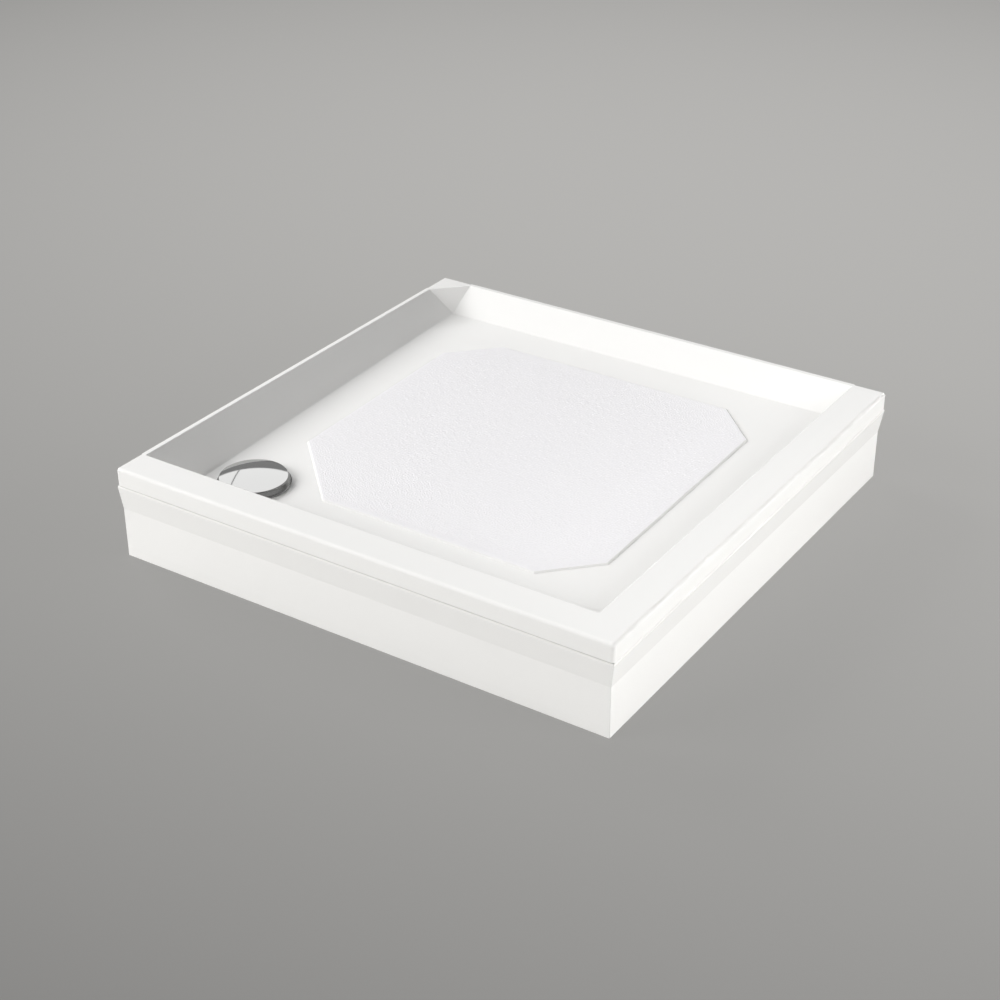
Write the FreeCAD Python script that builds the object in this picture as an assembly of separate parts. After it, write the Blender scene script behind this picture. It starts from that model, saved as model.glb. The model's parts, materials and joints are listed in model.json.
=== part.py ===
import FreeCAD, Part
import math
import os

from FreeCAD import Placement, Rotation, Vector

# A square shower tray for a corner, with aprons on its two open sides, on levelling legs, with a 90 mm waste.
# Millimetres. The origin is at the centre of the tray, on the floor. +X is right, +Y is back, +Z is up.
# The left and back sides stand against walls. The front and right sides are open.

# ---- the shell -----------------------------------------------------------------------------------
tray_side = 900.0
tray_height = 163.0
shell_wall = 5.0
lip_depth = 30.0
rim_open_side = 58.0
rim_wall_side = 10.0
rim_corner_radius = 6.0
rim_edge_radius = 5.5
rim_inner_edge_radius = 2.0

# ---- the basin -----------------------------------------------------------------------------------
depth_at_back = 40.0
depth_at_waste = 50.0
sloped_run = 1.2  # how far the left and back walls lean in for each millimetre down
steep_draft = 15.0  # degrees from upright of the front and right walls
facet_reach = 55.0  # along each rim from the back-left corner
basin_corner_radius = 3.0
basin_floor_radius = 5.0

# ---- the anti-slip pad ---------------------------------------------------------------------------
pad_rise = 2.4
pad_edge = 3.4
pad_corner_cut = 80.0
pad_waste_cut = 140.0
pad_from_left = 80.0
pad_from_back = 71.0
pad_from_right = 77.6
pad_from_front = 88.6

# ---- the board and resin under the floor ---------------------------------------------------------
board_thickness = 15.0
board_margin = 16.0
board_corner_radius = 20.0
resin_least = 1.6
waste_notch = 85.0

# ---- the battens under the wide rims -------------------------------------------------------------
batten_width = 38.0
batten_height = 20.0
batten_end_gap = 1.0
batten_lip_gap = 2.0

# ---- the aprons ----------------------------------------------------------------------------------
apron_sheet = 3.5
apron_joint_gap = 1.0
apron_bead_proud = 0.2
apron_inset = 8.0
apron_band_bottom = 76.5  # below the rim's top
apron_top_return = 21.0
apron_bottom_return = 20.0
apron_bead_radius = 1.5
mitre_gap = 0.3

# ---- the apron clips -----------------------------------------------------------------------------
clip_width = 30.0
clip_wall = 2.0
clip_play = 0.3
clip_mouth = 13.0
clip_tab = 14.0
clip_tab_thickness = 3.0
clips_per_apron = 4
clip_end_distance = 110.0
clip_screw_radius = 2.0
clip_screw_grip = 12.0
clip_screw_across_flats = 7.0
clip_screw_head_height = 2.0

# ---- the corner joiner ---------------------------------------------------------------------------
joiner_leg = 27.0
joiner_thickness = 2.0
joiner_bottom = 10.0
joiner_below_band = 8.0
joiner_clearance = 0.3

# ---- the wall brackets ---------------------------------------------------------------------------
bracket_steel = 2.0
bracket_width = 40.0
bracket_plate = 38.0
bracket_hook = 12.0
bracket_span = 500.0
bracket_hole_radius = 3.25
bracket_hole_drop = 24.0
bracket_corner_radius = 4.0

# ---- the legs ------------------------------------------------------------------------------------
rod_radius = 6.0
thread_clearance = 0.1
rod_top_gap = 2.4
socket_plate = 60.0
socket_plate_thickness = 3.0
socket_plate_radius = 8.0
socket_boss_radius = 11.0
socket_boss_height = 29.0
socket_rib_width = 2.0
socket_screw_spacing = 44.0
socket_screw_radius = 2.1
socket_screw_grip = 12.0
socket_screw_across_flats = 8.0
socket_screw_head_height = 2.2
screw_clearance = 0.05
nut_across_flats = 18.0
nut_height = 6.0
foot_radius = 25.0
foot_base = 4.0
foot_height = 16.0
foot_neck_radius = 10.0
foot_floor = 6.0
rod_hex_across_flats = 13.0
rod_hex_height = 5.0
leg_inset = 150.0
waste_leg_shift = 140.0
pipe_leg_shift = 60.0

# ---- the waste -----------------------------------------------------------------------------------
waste_inset = 150.0
waste_hole_radius = 45.0
seat_recess = 2.6
seat_clearance = 0.6
seat_boss_margin = 9.0
flange_radius = 59.6
flange_thickness = 2.5
flange_bevel = 1.4
flange_gasket_thickness = 1.5
trap_gasket_thickness = 2.0
gasket_inner = 46.0
gasket_margin = 1.0
collar_radius = 44.0
collar_wall = 2.0
collar_depth = 20.4
ledge_thickness = 3.0
insert_bore = 32.3
flange_screw_circle = 37.3
flange_screw_radius = 2.0
flange_screw_head = 3.9
flange_screw_length = 15.0
flange_screw_count = 4

# ---- the trap ------------------------------------------------------------------------------------
trap_wall = 2.5
trap_radius = 61.0
trap_flange_radius = 65.0
trap_flange_thickness = 3.5
trap_ground_clearance = 15.0
trap_edge_radius = 4.0
trap_bore_gap = 0.6
screw_boss_radius = 4.2
screw_boss_depth = 10.0
shelf_thickness = 4.0
shelf_collar_depth = 8.0
slide_clearance = 0.3
weir_radius = 45.0
weir_wall = 2.0
weir_below_shelf = 12.0

# ---- the outlet ----------------------------------------------------------------------------------
pipe_radius = 20.0
pipe_clearance = 0.3
outlet_height = 48.0
outlet_wall = 3.7
outlet_reach = 40.0
outlet_grip = 25.0
outlet_stop = 2.3
outlet_nut_radius = 29.0
outlet_nut_length = 20.0
outlet_nut_lip = 3.0
outlet_nut_overlap = 12.0
outlet_rib_count = 12
outlet_rib_radius = 1.6
washer_thickness = 5.0
pipe_way_gap = 0.75  # round the pipe in the nut and the slack washer

# ---- what lifts out of the trap ------------------------------------------------------------------
dip_rim_radius = 41.5
dip_rim_thickness = 2.5
dip_wall = 2.0
dip_collar_wall = 3.0
dip_collar_depth = 15.0
dip_cone_depth = 8.0
dip_tube_radius = 24.0
dip_seal_depth = 50.0  # how far the tube's end hangs under the weir's top
seal_width = 2.4
seal_thickness = 1.9
seal_lip = 0.6
seal_depth = 10.0
seal_bore_gap = 0.1
groove_play = 0.1
sieve_rim_radius = 38.0
sieve_rim_thickness = 1.5
sieve_wall = 1.6
sieve_depth = 15.5
sieve_boss_radius = 9.0
sieve_boss_height = 18.4
sieve_slot_count = 12
sieve_slot_width = 3.0
sieve_slot_height = 9.0
sieve_base_slot = (12.0, 24.0)  # from and to, measured out from the axis

# ---- the cover -----------------------------------------------------------------------------------
cover_radius = 55.5
cover_skirt_radius = 59.4
cover_height = 12.0  # the cover's edge above the basin's floor
cover_crown = 5.0
cover_wall = 1.5
cover_slot = 1.2
cover_edge_radius = 1.2
stem_radius = 6.0
stem_length = 16.0
stem_shoulder_gap = 0.5
carrier_rib_count = 4
carrier_rib_width = 3.0
carrier_rib_depth = 5.0
carrier_foot_radius = 50.0
carrier_foot_size = 6.0

# ---- places worked out from the sizes above ------------------------------------------------------
half = tray_side / 2
rim_top = tray_height
lip_bottom = rim_top - lip_depth
left_crease = -half + rim_wall_side + sloped_run * depth_at_back
back_crease = -left_crease
steep_run = math.tan(math.radians(steep_draft))
right_foot = half - rim_open_side - steep_run * depth_at_waste
front_foot = -right_foot
waste_x = -half + waste_inset
waste_y = -half + waste_inset
fall = (depth_at_waste - depth_at_back) / (back_crease - waste_y)


def floor_z(y):
    """Height of the basin's floor, which falls evenly from the back wall to the front."""
    return rim_top - depth_at_back - fall * (back_crease - y)


seat_top = floor_z(waste_y) - seat_recess
seat_bottom = seat_top - shell_wall
board_top = floor_z(front_foot) - shell_wall - resin_least
board_bottom = board_top - board_thickness
batten_bottom = rim_top - shell_wall - batten_height
apron_top = lip_bottom - apron_joint_gap

# the waste's heights, from the seat in the floor down
flange_bottom = seat_top + flange_gasket_thickness
flange_top = flange_bottom + flange_thickness
ledge_bottom = flange_top - collar_depth
ledge_top = ledge_bottom + ledge_thickness
trap_top = seat_bottom - trap_gasket_thickness
shelf_bottom = ledge_bottom - shelf_thickness
weir_top = shelf_bottom - weir_below_shelf
dip_top = ledge_top + dip_rim_thickness
dip_bottom = weir_top - dip_seal_depth
dip_collar_radius = insert_bore - slide_clearance
sieve_top = dip_top + sieve_rim_thickness
sieve_bottom = dip_top - sieve_depth
sieve_radius = dip_collar_radius - dip_collar_wall - slide_clearance
boss_top = sieve_bottom + sieve_wall + sieve_boss_height
cover_edge = floor_z(waste_y) + cover_height
skirt_bottom = flange_top + cover_slot


# ---- helpers -------------------------------------------------------------------------------------
def block(x, y, z):
    """A box between the two ends given for each axis."""
    return Part.makeBox(x[1] - x[0], y[1] - y[0], z[1] - z[0], Vector(x[0], y[0], z[0]))


def rod(radius, bottom, top, x=0.0, y=0.0):
    """An upright cylinder."""
    return Part.makeCylinder(radius, top - bottom, Vector(x, y, bottom))


def tube(inner, outer, bottom, top, x=0.0, y=0.0):
    """An upright ring with flat ends."""
    return rod(outer, bottom, top, x, y).cut(rod(inner, bottom, top, x, y))


def prism(points, bottom, top):
    """A plan outline raised between two heights."""
    corners = [Vector(x, y, bottom) for x, y in points]
    face = Part.Face(Part.makePolygon(corners + corners[:1]))
    return face.extrude(Vector(0, 0, top - bottom))


def spin(points, x=0.0, y=0.0):
    """A closed outline of (radius, height) points turned round an upright axis."""
    corners = [Vector(x + r, y, z) for r, z in points]
    face = Part.Face(Part.makePolygon(corners + corners[:1]))
    return face.revolve(Vector(x, y, 0), Vector(0, 0, 1), 360)


def hexagon(across_flats, bottom, top, x, y):
    """A six-sided bar."""
    reach = across_flats / math.sqrt(3)
    turns = [math.radians(60 * i) for i in range(6)]
    return prism([(x + reach * math.cos(a), y + reach * math.sin(a)) for a in turns], bottom, top)


def hex_screw(radius, seat, tip, across_flats, head_height, x, y):
    """A hexagon-headed screw that points up, its head hanging below its seat."""
    head = hexagon(across_flats, seat - head_height, seat, x, y)
    return head.fuse(rod(radius, seat, tip, x, y)).removeSplitter()


def around(count, radius, x, y, first=0.0):
    """Evenly spaced places on a circle, as (turn in degrees, x, y)."""
    turns = [first + 360.0 * i / count for i in range(count)]
    return [(t, x + radius * math.cos(math.radians(t)), y + radius * math.sin(math.radians(t))) for t in turns]


def behind(point, normal):
    """All that lies behind a plane, as a block far larger than the tray."""
    size = 4 * tray_side
    solid = Part.makeBox(size, size, size, Vector(-size / 2, -size / 2, -size))
    solid.Placement = Placement(point, Rotation(Vector(0, 0, 1), normal))
    return solid


def middle(edge):
    """The point halfway along an edge."""
    return edge.valueAt((edge.FirstParameter + edge.LastParameter) / 2)


def climb(edge):
    """How steeply an edge climbs at its middle: 0 when level, 1 when upright."""
    return abs(edge.tangentAt((edge.FirstParameter + edge.LastParameter) / 2).z)


def upright_edges(shape):
    """The shape's edges that run straight up and down."""
    return [e for e in shape.Edges if climb(e) > 0.999]


def bent_sheet(points, thickness):
    """The section of a folded sheet: a path and its parallel on the right-hand side, mitred at each fold."""
    steps = [(b[0] - a[0], b[1] - a[1]) for a, b in zip(points, points[1:])]
    rights = [(dz / math.hypot(du, dz), -du / math.hypot(du, dz)) for du, dz in steps]
    inner = []
    for i, (u, z) in enumerate(points):
        before = rights[max(i - 1, 0)]
        after = rights[min(i, len(rights) - 1)]
        share = thickness / (1 + before[0] * after[0] + before[1] * after[1])
        inner.append((u + share * (before[0] + after[0]), z + share * (before[1] + after[1])))
    return points + inner[::-1]


# ---- the shell -----------------------------------------------------------------------------------
def basin(offset):
    """The hollow that holds the water, or, offset by the sheet's thickness, the outside of the tub round it."""
    inner = half - rim_wall_side
    facet_slope = (2 * inner - facet_reach - 2 * back_crease) / depth_at_back
    walls = [
        (Vector(0, -half + rim_open_side, rim_top), Vector(0, -1, -steep_run)),
        (Vector(half - rim_open_side, 0, rim_top), Vector(1, 0, -steep_run)),
        (Vector(0, inner, rim_top), Vector(0, 1, -sloped_run)),
        (Vector(-inner, 0, rim_top), Vector(-1, 0, -sloped_run)),
        (Vector(0, back_crease, rim_top - depth_at_back), Vector(0, fall, -1)),
    ]
    facet = (Vector(-inner, inner - facet_reach, rim_top), Vector(-1, 1, -facet_slope))
    solid = block((-half, half), (-half, half), (0, rim_top))
    for point, normal in walls:
        normal.normalize()
        solid = solid.common(behind(point + normal * offset, normal))
    feet = [e for e in solid.Edges if climb(e) < 0.3 and middle(e).z < rim_top - depth_at_back / 2]
    solid = solid.makeFillet(basin_floor_radius + offset, feet)
    corners = [e for e in solid.Edges if climb(e) > 0.3 and max(v.Z for v in e.Vertexes) > rim_top - 1]
    solid = solid.makeFillet(basin_corner_radius + offset, corners)
    facet[1].normalize()
    return solid.common(behind(facet[0] + facet[1] * offset, facet[1]))


def rim():
    """The flat rim with its rounded edge and turned-down lip, open underneath."""
    slab = block((-half, half), (-half, half), (lip_bottom, rim_top))
    slab = slab.makeFillet(rim_corner_radius, upright_edges(slab))
    edge = [e for e in slab.Edges if climb(e) < 0.5 and middle(e).z > rim_top - 1]
    slab = slab.makeFillet(rim_edge_radius, edge)
    inner = half - shell_wall
    return slab.cut(block((-inner, inner), (-inner, inner), (lip_bottom, rim_top - shell_wall)))


def pad_outline():
    """The anti-slip pad's plan: a square with cut corners, the one by the waste cut deeper."""
    left = left_crease + pad_from_left
    back = back_crease - pad_from_back
    right = right_foot - pad_from_right
    front = front_foot + pad_from_front
    cut = pad_corner_cut
    return [
        (left, front + pad_waste_cut),
        (left + pad_waste_cut, front),
        (right - cut, front),
        (right, front + cut),
        (right, back - cut),
        (right - cut, back),
        (left + cut, back),
        (left, back - cut),
    ]


def pad():
    """The raised pad, its top parallel to the floor and its edge bevelled."""
    solid = prism(pad_outline(), seat_bottom, rim_top)
    top = Vector(0, back_crease, rim_top - depth_at_back + pad_rise)
    solid = solid.common(behind(top, Vector(0, -fall, 1).normalize()))
    edge = [e for e in solid.Edges if climb(e) < 0.3 and middle(e).z > seat_bottom + 1]
    solid = solid.makeChamfer(pad_edge, edge)
    floor = Vector(0, back_crease, rim_top - depth_at_back - shell_wall / 2)
    return solid.common(behind(floor, Vector(0, fall, -1).normalize()))


def tray_body():
    """The moulded shell: rim, tub, pad and the level seat round the waste."""
    seat_boss = rod(flange_radius + seat_boss_margin, seat_bottom, seat_top + 1, waste_x, waste_y)
    shell = rim().fuse([basin(shell_wall), seat_boss])
    hollow = basin(0)
    shell = shell.cut(hollow)
    shell = shell.fuse(pad())
    recess = rod(flange_radius + seat_clearance, seat_top, rim_top, waste_x, waste_y)
    hole = rod(waste_hole_radius, 0, rim_top, waste_x, waste_y)
    shell = shell.cut([recess, hole]).removeSplitter()
    inner = [e for e in shell.Edges if abs(middle(e).z - rim_top) < 0.01 and on_inner_rim(middle(e))]
    return shell.makeFillet(rim_inner_edge_radius, inner)


def on_inner_rim(point):
    """Does a point at the rim's top lie round the basin, not round the outside?"""
    reach = half - rim_edge_radius - 1
    return abs(point.x) < reach and abs(point.y) < reach


def under_floor_outline():
    """Plan of the board and its resin: a square that stops short of the walls and leaves out the waste's corner."""
    left = left_crease + board_margin
    right = right_foot - board_margin
    sheet = block((left, right), (-right, -left), (board_bottom, rim_top))
    corner = (waste_x + waste_notch, waste_y + waste_notch)
    sheet = sheet.cut(block((-half, corner[0]), (-half, corner[1]), (0, rim_top)))
    return sheet.makeFillet(board_corner_radius, upright_edges(sheet))


def resin_bed():
    """Reinforcing resin that fills the wedge between the falling floor and the level board."""
    above = block((-half, half), (-half, half), (board_top, rim_top))
    below_tub = under_floor_outline().common(above).cut(basin(shell_wall))
    return below_tub.cut(rod(flange_radius + seat_boss_margin, 0, rim_top, waste_x, waste_y))


def baseboard():
    """The board that stiffens the floor and takes the leg screws."""
    return under_floor_outline().common(block((-half, half), (-half, half), (board_bottom, board_top)))


def battens():
    """Strips bonded under the wide rims: the front one runs through and the side one butts against it."""
    near = half - shell_wall - batten_lip_gap
    far = near - batten_width
    z = (batten_bottom, rim_top - shell_wall)
    front = block((-near, near), (-near, -far), z)
    side = block((far, near), (-far + batten_end_gap, near), z)
    return front, side


# ---- the aprons ----------------------------------------------------------------------------------
def turn_to_side(shape):
    """A piece of the front carried round to the right-hand side, mirrored in the mitre."""
    return shape.mirror(Vector(0, 0, 0), Vector(1, 1, 0))


def apron_section():
    """The folded sheet seen from its end, as (distance out from the rim's face, height)."""
    path = [
        (-apron_top_return, apron_top),
        (apron_bead_proud, apron_top),
        (-apron_inset, rim_top - apron_band_bottom),
        (-apron_inset, 0.0),
        (-apron_inset - apron_bottom_return, 0.0),
    ]
    return bent_sheet(path, apron_sheet)


def front_apron():
    """The front panel, cut to the mitre at the right-hand end."""
    corners = [Vector(-half, -half - u, z) for u, z in apron_section()]
    face = Part.Face(Part.makePolygon(corners + corners[:1]))
    panel = face.extrude(Vector(tray_side + 2 * apron_bead_proud, 0, 0))
    bead = [e for e in panel.Edges if abs(e.tangentAt(e.FirstParameter).x) > 0.9
            and abs(middle(e).y + half + apron_bead_proud) < 0.01]
    panel = panel.makeFillet(apron_bead_radius, bead)
    mitre = Vector(1, 1, 0).normalize()
    return panel.common(behind(mitre * (-mitre_gap / 2), mitre))


def corner_joiner():
    """The angle bonded behind the side apron at the mitre. Its other leg lies just behind the front apron."""
    inside = half - apron_inset - apron_sheet
    top = rim_top - apron_band_bottom - joiner_below_band
    z = (joiner_bottom, top)
    near = -inside + joiner_clearance
    side_leg = block((inside - joiner_thickness, inside), (near, near + joiner_leg), z)
    front_leg = block((inside - joiner_leg, inside), (near, near + joiner_thickness), z)
    return side_leg.fuse(front_leg).removeSplitter()


def clip_places():
    """Places of the clips along an apron, evenly spaced."""
    first = -half + clip_end_distance
    step = (tray_side - 2 * clip_end_distance) / (clips_per_apron - 1)
    return [first + i * step for i in range(clips_per_apron)]


def clip_screw_setback():
    """How far a clip's screw lies behind the rim's face."""
    return apron_top_return + clip_play + clip_wall + clip_tab / 2


def apron_clips():
    """C-shaped clips whose mouths take the apron's top return, each with a tab for its screw."""
    back = apron_top_return + clip_play
    mouth_top = apron_top + clip_play
    mouth_bottom = apron_top - apron_sheet - clip_play
    lead = clip_wall / 2
    outline = [
        (back - clip_mouth, batten_bottom),
        (back + clip_wall + clip_tab, batten_bottom),
        (back + clip_wall + clip_tab, batten_bottom - clip_tab_thickness),
        (back + clip_wall, batten_bottom - clip_tab_thickness),
        (back + clip_wall, mouth_bottom - clip_wall),
        (back - clip_mouth, mouth_bottom - clip_wall),
        (back - clip_mouth, mouth_bottom - lead),
        (back - clip_mouth + lead, mouth_bottom),
        (back, mouth_bottom),
        (back, mouth_top),
        (back - clip_mouth, mouth_top),
    ]
    clips = []
    screws = []
    for position in clip_places():
        left = position - clip_width / 2
        corners = [Vector(left, -half + u, z) for u, z in outline]
        clip = Part.Face(Part.makePolygon(corners + corners[:1])).extrude(Vector(clip_width, 0, 0))
        y = -half + clip_screw_setback()
        under = batten_bottom - clip_tab_thickness
        clips.append(clip.cut(rod(clip_screw_radius + screw_clearance, under - 1, batten_bottom + 1, position, y)))
        screws.append(hex_screw(clip_screw_radius, under, batten_bottom + clip_screw_grip,
                                clip_screw_across_flats, clip_screw_head_height, position, y))
    return clips, screws


# ---- the wall brackets ---------------------------------------------------------------------------
def wall_brackets():
    """Steel brackets screwed to the walls, each holding the lip from below and behind."""
    path = [
        (0.0, lip_bottom - bracket_plate),
        (0.0, lip_bottom),
        (shell_wall, lip_bottom),
        (shell_wall, lip_bottom + bracket_hook),
    ]
    section = bent_sheet(path, bracket_steel)
    brackets = []
    for along in (-bracket_span / 2, bracket_span / 2):
        corners = [Vector(along - bracket_width / 2, half - u, z) for u, z in section]
        bracket = Part.Face(Part.makePolygon(corners + corners[:1])).extrude(Vector(bracket_width, 0, 0))
        plate_corners = [e for e in bracket.Edges if middle(e).z < lip_bottom - bracket_plate + 1
                         and abs(e.tangentAt(e.FirstParameter).y) > 0.9]
        bracket = bracket.makeFillet(bracket_corner_radius, plate_corners)
        hole = Part.makeCylinder(bracket_hole_radius, 4 * bracket_steel,
                                 Vector(along, half - 2 * bracket_steel, lip_bottom - bracket_hole_drop),
                                 Vector(0, 1, 0))
        bracket = bracket.cut(hole)
        brackets.append(bracket)
        brackets.append(bracket.rotated(Vector(0, 0, 0), Vector(0, 0, 1), 90))
    return brackets


# ---- the legs ------------------------------------------------------------------------------------
def leg_places():
    """Centres of the five legs. Two stand aside: one for the trap and one for the pipe that runs back from it."""
    out = half - leg_inset
    return {
        "front_left": (-out + waste_leg_shift, -out),
        "front_right": (out, -out),
        "back_right": (out, out),
        "back_left": (-out + pipe_leg_shift, out),
        "centre": (0.0, 0.0),
    }


def socket_screw_places(x, y):
    """The four screws of a socket plate, one near each of its corners."""
    return around(4, socket_screw_spacing / math.sqrt(2), x, y, 45.0)


def leg(x, y):
    """One levelling leg's pieces: socket, threaded rod, lock nut, foot pad and the socket's screws."""
    plate_bottom = board_bottom - socket_plate_thickness
    boss_bottom = plate_bottom - socket_boss_height
    reach = socket_plate / 2
    plate = block((x - reach, x + reach), (y - reach, y + reach), (plate_bottom, board_bottom))
    plate = plate.makeFillet(socket_plate_radius, upright_edges(plate))
    rib_reach = reach - socket_plate_radius
    rib_half = socket_rib_width / 2
    rib_z = (plate_bottom - socket_plate_thickness, plate_bottom)
    ribs = [
        block((x - rib_reach, x + rib_reach), (y - rib_half, y + rib_half), rib_z),
        block((x - rib_half, x + rib_half), (y - rib_reach, y + rib_reach), rib_z),
    ]
    socket = plate.fuse([rod(socket_boss_radius, boss_bottom, plate_bottom, x, y)] + ribs)
    bore = rod(rod_radius + thread_clearance, boss_bottom, board_bottom, x, y)
    holes = [rod(socket_screw_radius + screw_clearance, plate_bottom, board_bottom, sx, sy)
             for _, sx, sy in socket_screw_places(x, y)]
    socket = socket.cut([bore] + holes).removeSplitter()
    screws = [hex_screw(socket_screw_radius, plate_bottom, board_bottom + socket_screw_grip,
                        socket_screw_across_flats, socket_screw_head_height, sx, sy)
              for _, sx, sy in socket_screw_places(x, y)]
    nut = hexagon(nut_across_flats, boss_bottom - nut_height, boss_bottom, x, y)
    nut = nut.cut(rod(rod_radius + thread_clearance, boss_bottom - nut_height, boss_bottom, x, y))
    spindle = rod(rod_radius, foot_floor, board_bottom - rod_top_gap, x, y)
    spindle = spindle.fuse(hexagon(rod_hex_across_flats, foot_height, foot_height + rod_hex_height, x, y))
    pad_profile = [
        (0, 0),
        (foot_radius, 0),
        (foot_radius, foot_base),
        (foot_neck_radius, foot_height),
        (rod_radius + thread_clearance, foot_height),
        (rod_radius + thread_clearance, foot_floor),
        (0, foot_floor),
    ]
    return {
        "leg_socket": socket,
        "leg_rod": spindle.removeSplitter(),
        "lock_nut": nut,
        "foot_pad": spin(pad_profile, x, y),
        "screws": screws,
    }


# ---- the waste -----------------------------------------------------------------------------------
def at_waste(profile):
    """A profile turned round the waste's axis."""
    return spin(profile, waste_x, waste_y)


def ring_at_waste(inner, outer, bottom, top):
    """A flat-ended ring round the waste's axis."""
    return tube(inner, outer, bottom, top, waste_x, waste_y)


def turned_at_waste(piece, turn):
    """A piece made at the origin, turned by some degrees and carried to the waste's axis."""
    copy = piece.copy()
    copy.rotate(Vector(0, 0, 0), Vector(0, 0, 1), turn)
    copy.translate(Vector(waste_x, waste_y, 0))
    return copy


def flange_screw_places():
    """The screws that draw the flange and the trap together, as (turn, x, y)."""
    return around(flange_screw_count, flange_screw_circle, waste_x, waste_y, 45.0)


def waste_flange():
    """The chrome ring in the floor, with a collar down through the hole and a ledge for its screws."""
    ring = at_waste([
        (insert_bore, ledge_bottom),
        (collar_radius, ledge_bottom),
        (collar_radius, flange_bottom),
        (flange_radius, flange_bottom),
        (flange_radius, flange_top - flange_bevel),
        (flange_radius - flange_bevel, flange_top),
        (collar_radius - collar_wall, flange_top),
        (collar_radius - collar_wall, ledge_top),
        (insert_bore, ledge_top),
    ])
    return ring.cut([flange_screw(x, y, screw_clearance) for _, x, y in flange_screw_places()])


def flange_screw(x, y, grow=0.0):
    """A countersunk screw flush with the ledge or, grown by a clearance, the hole for it."""
    taper = flange_screw_head - flange_screw_radius
    profile = [
        (0, ledge_top),
        (flange_screw_head + grow, ledge_top),
        (flange_screw_radius + grow, ledge_top - taper),
        (flange_screw_radius + grow, ledge_top - flange_screw_length),
        (0, ledge_top - flange_screw_length),
    ]
    return spin(profile, x, y)


# ---- the trap ------------------------------------------------------------------------------------
def outlet_rod(radius, start, end):
    """A level cylinder along the outlet's axis, between two places on Y."""
    return Part.makeCylinder(radius, end - start, Vector(waste_x, start, outlet_height), Vector(0, 1, 0))


def trap_body():
    """The trap: a flange under the tray, a shelf that the insert seals in, a weir cup and the outlet."""
    inner = trap_radius - trap_wall
    neck = collar_radius + trap_bore_gap
    base = trap_ground_clearance
    collar_end = shelf_bottom - shelf_collar_depth
    shell = at_waste([
        (0, base),
        (trap_radius - trap_edge_radius, base),
        (trap_radius, base + trap_edge_radius),
        (trap_radius, ledge_bottom - trap_wall),
        (inner, ledge_bottom),
        (neck + trap_wall, ledge_bottom),
        (neck + trap_wall, trap_top - trap_flange_thickness),
        (trap_flange_radius, trap_top - trap_flange_thickness),
        (trap_flange_radius, trap_top),
        (neck, trap_top),
        (neck, ledge_bottom),
        (insert_bore, ledge_bottom),
        (insert_bore, collar_end),
        (insert_bore + trap_wall, collar_end),
        (insert_bore + trap_wall, shelf_bottom),
        (inner, shelf_bottom),
        (inner, base + trap_edge_radius),
        (inner - trap_edge_radius + trap_wall, base + trap_wall),
        (weir_radius, base + trap_wall),
        (weir_radius, weir_top),
        (weir_radius - weir_wall, weir_top),
        (weir_radius - weir_wall, base + trap_wall),
        (0, base + trap_wall),
    ])
    bosses = [rod(screw_boss_radius, shelf_bottom - screw_boss_depth, shelf_bottom, x, y)
              for _, x, y in flange_screw_places()]
    mouth = outlet_mouth()
    stop = mouth - outlet_grip
    bore = pipe_radius + pipe_clearance
    spout = outlet_rod(bore + outlet_wall, waste_y, mouth)
    spout = spout.cut(rod(inner, base, ledge_bottom, waste_x, waste_y))
    way = outlet_rod(pipe_radius - outlet_stop, waste_y, stop)
    way = way.cut(rod(weir_radius + trap_wall, base, ledge_bottom, waste_x, waste_y))
    pilots = [flange_screw(x, y, screw_clearance) for _, x, y in flange_screw_places()]
    body = shell.fuse(bosses + [spout])
    return body.cut([way, outlet_rod(bore, stop, mouth)] + pilots).removeSplitter()


def outlet_mouth():
    """Where the outlet's socket ends, on Y."""
    return waste_y + trap_radius + outlet_reach


def outlet_nut():
    """The ribbed nut that squeezes the washer on to the pipe."""
    start = outlet_mouth() - outlet_nut_overlap
    end = start + outlet_nut_length
    socket = pipe_radius + pipe_clearance + outlet_wall + screw_clearance
    nut = outlet_rod(outlet_nut_radius, start, end)
    ribs = []
    for turn in range(outlet_rib_count):
        angle = 2 * math.pi * turn / outlet_rib_count
        place = Vector(waste_x + outlet_nut_radius * math.cos(angle), start,
                       outlet_height + outlet_nut_radius * math.sin(angle))
        ribs.append(Part.makeCylinder(outlet_rib_radius, outlet_nut_length, place, Vector(0, 1, 0)))
    nut = nut.fuse(ribs)
    pipe_way = outlet_rod(pipe_radius + pipe_way_gap, start, end)
    return nut.cut([outlet_rod(socket, start, end - outlet_nut_lip), pipe_way]).removeSplitter()


def outlet_washer():
    """The rubber ring between the socket's mouth and the nut's lip."""
    mouth = outlet_mouth()
    outer = pipe_radius + pipe_clearance + outlet_wall
    ring = outlet_rod(outer, mouth, mouth + washer_thickness)
    return ring.cut(outlet_rod(pipe_radius + pipe_way_gap, mouth, mouth + washer_thickness))


# ---- what lifts out of the trap ------------------------------------------------------------------
def groove_floor():
    """Radius of the bottom of the seal's groove."""
    return insert_bore - seal_bore_gap - seal_thickness


def dip_tube():
    """The insert that carries the water down under the weir's top, with a groove for its seal."""
    collar_inner = dip_collar_radius - dip_collar_wall
    tube_inner = dip_tube_radius - dip_wall
    collar_bottom = ledge_top - dip_collar_depth
    cone_bottom = collar_bottom - dip_cone_depth
    groove = ledge_top - seal_depth
    groove_half = seal_width / 2 + groove_play
    return at_waste([
        (collar_inner, dip_top),
        (dip_rim_radius, dip_top),
        (dip_rim_radius, ledge_top),
        (dip_collar_radius, ledge_top),
        (dip_collar_radius, groove + groove_half),
        (groove_floor(), groove + groove_half),
        (groove_floor(), groove - groove_half),
        (dip_collar_radius, groove - groove_half),
        (dip_collar_radius, collar_bottom),
        (dip_tube_radius, cone_bottom),
        (dip_tube_radius, dip_bottom),
        (tube_inner, dip_bottom),
        (tube_inner, cone_bottom),
        (collar_inner, collar_bottom),
    ])


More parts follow.
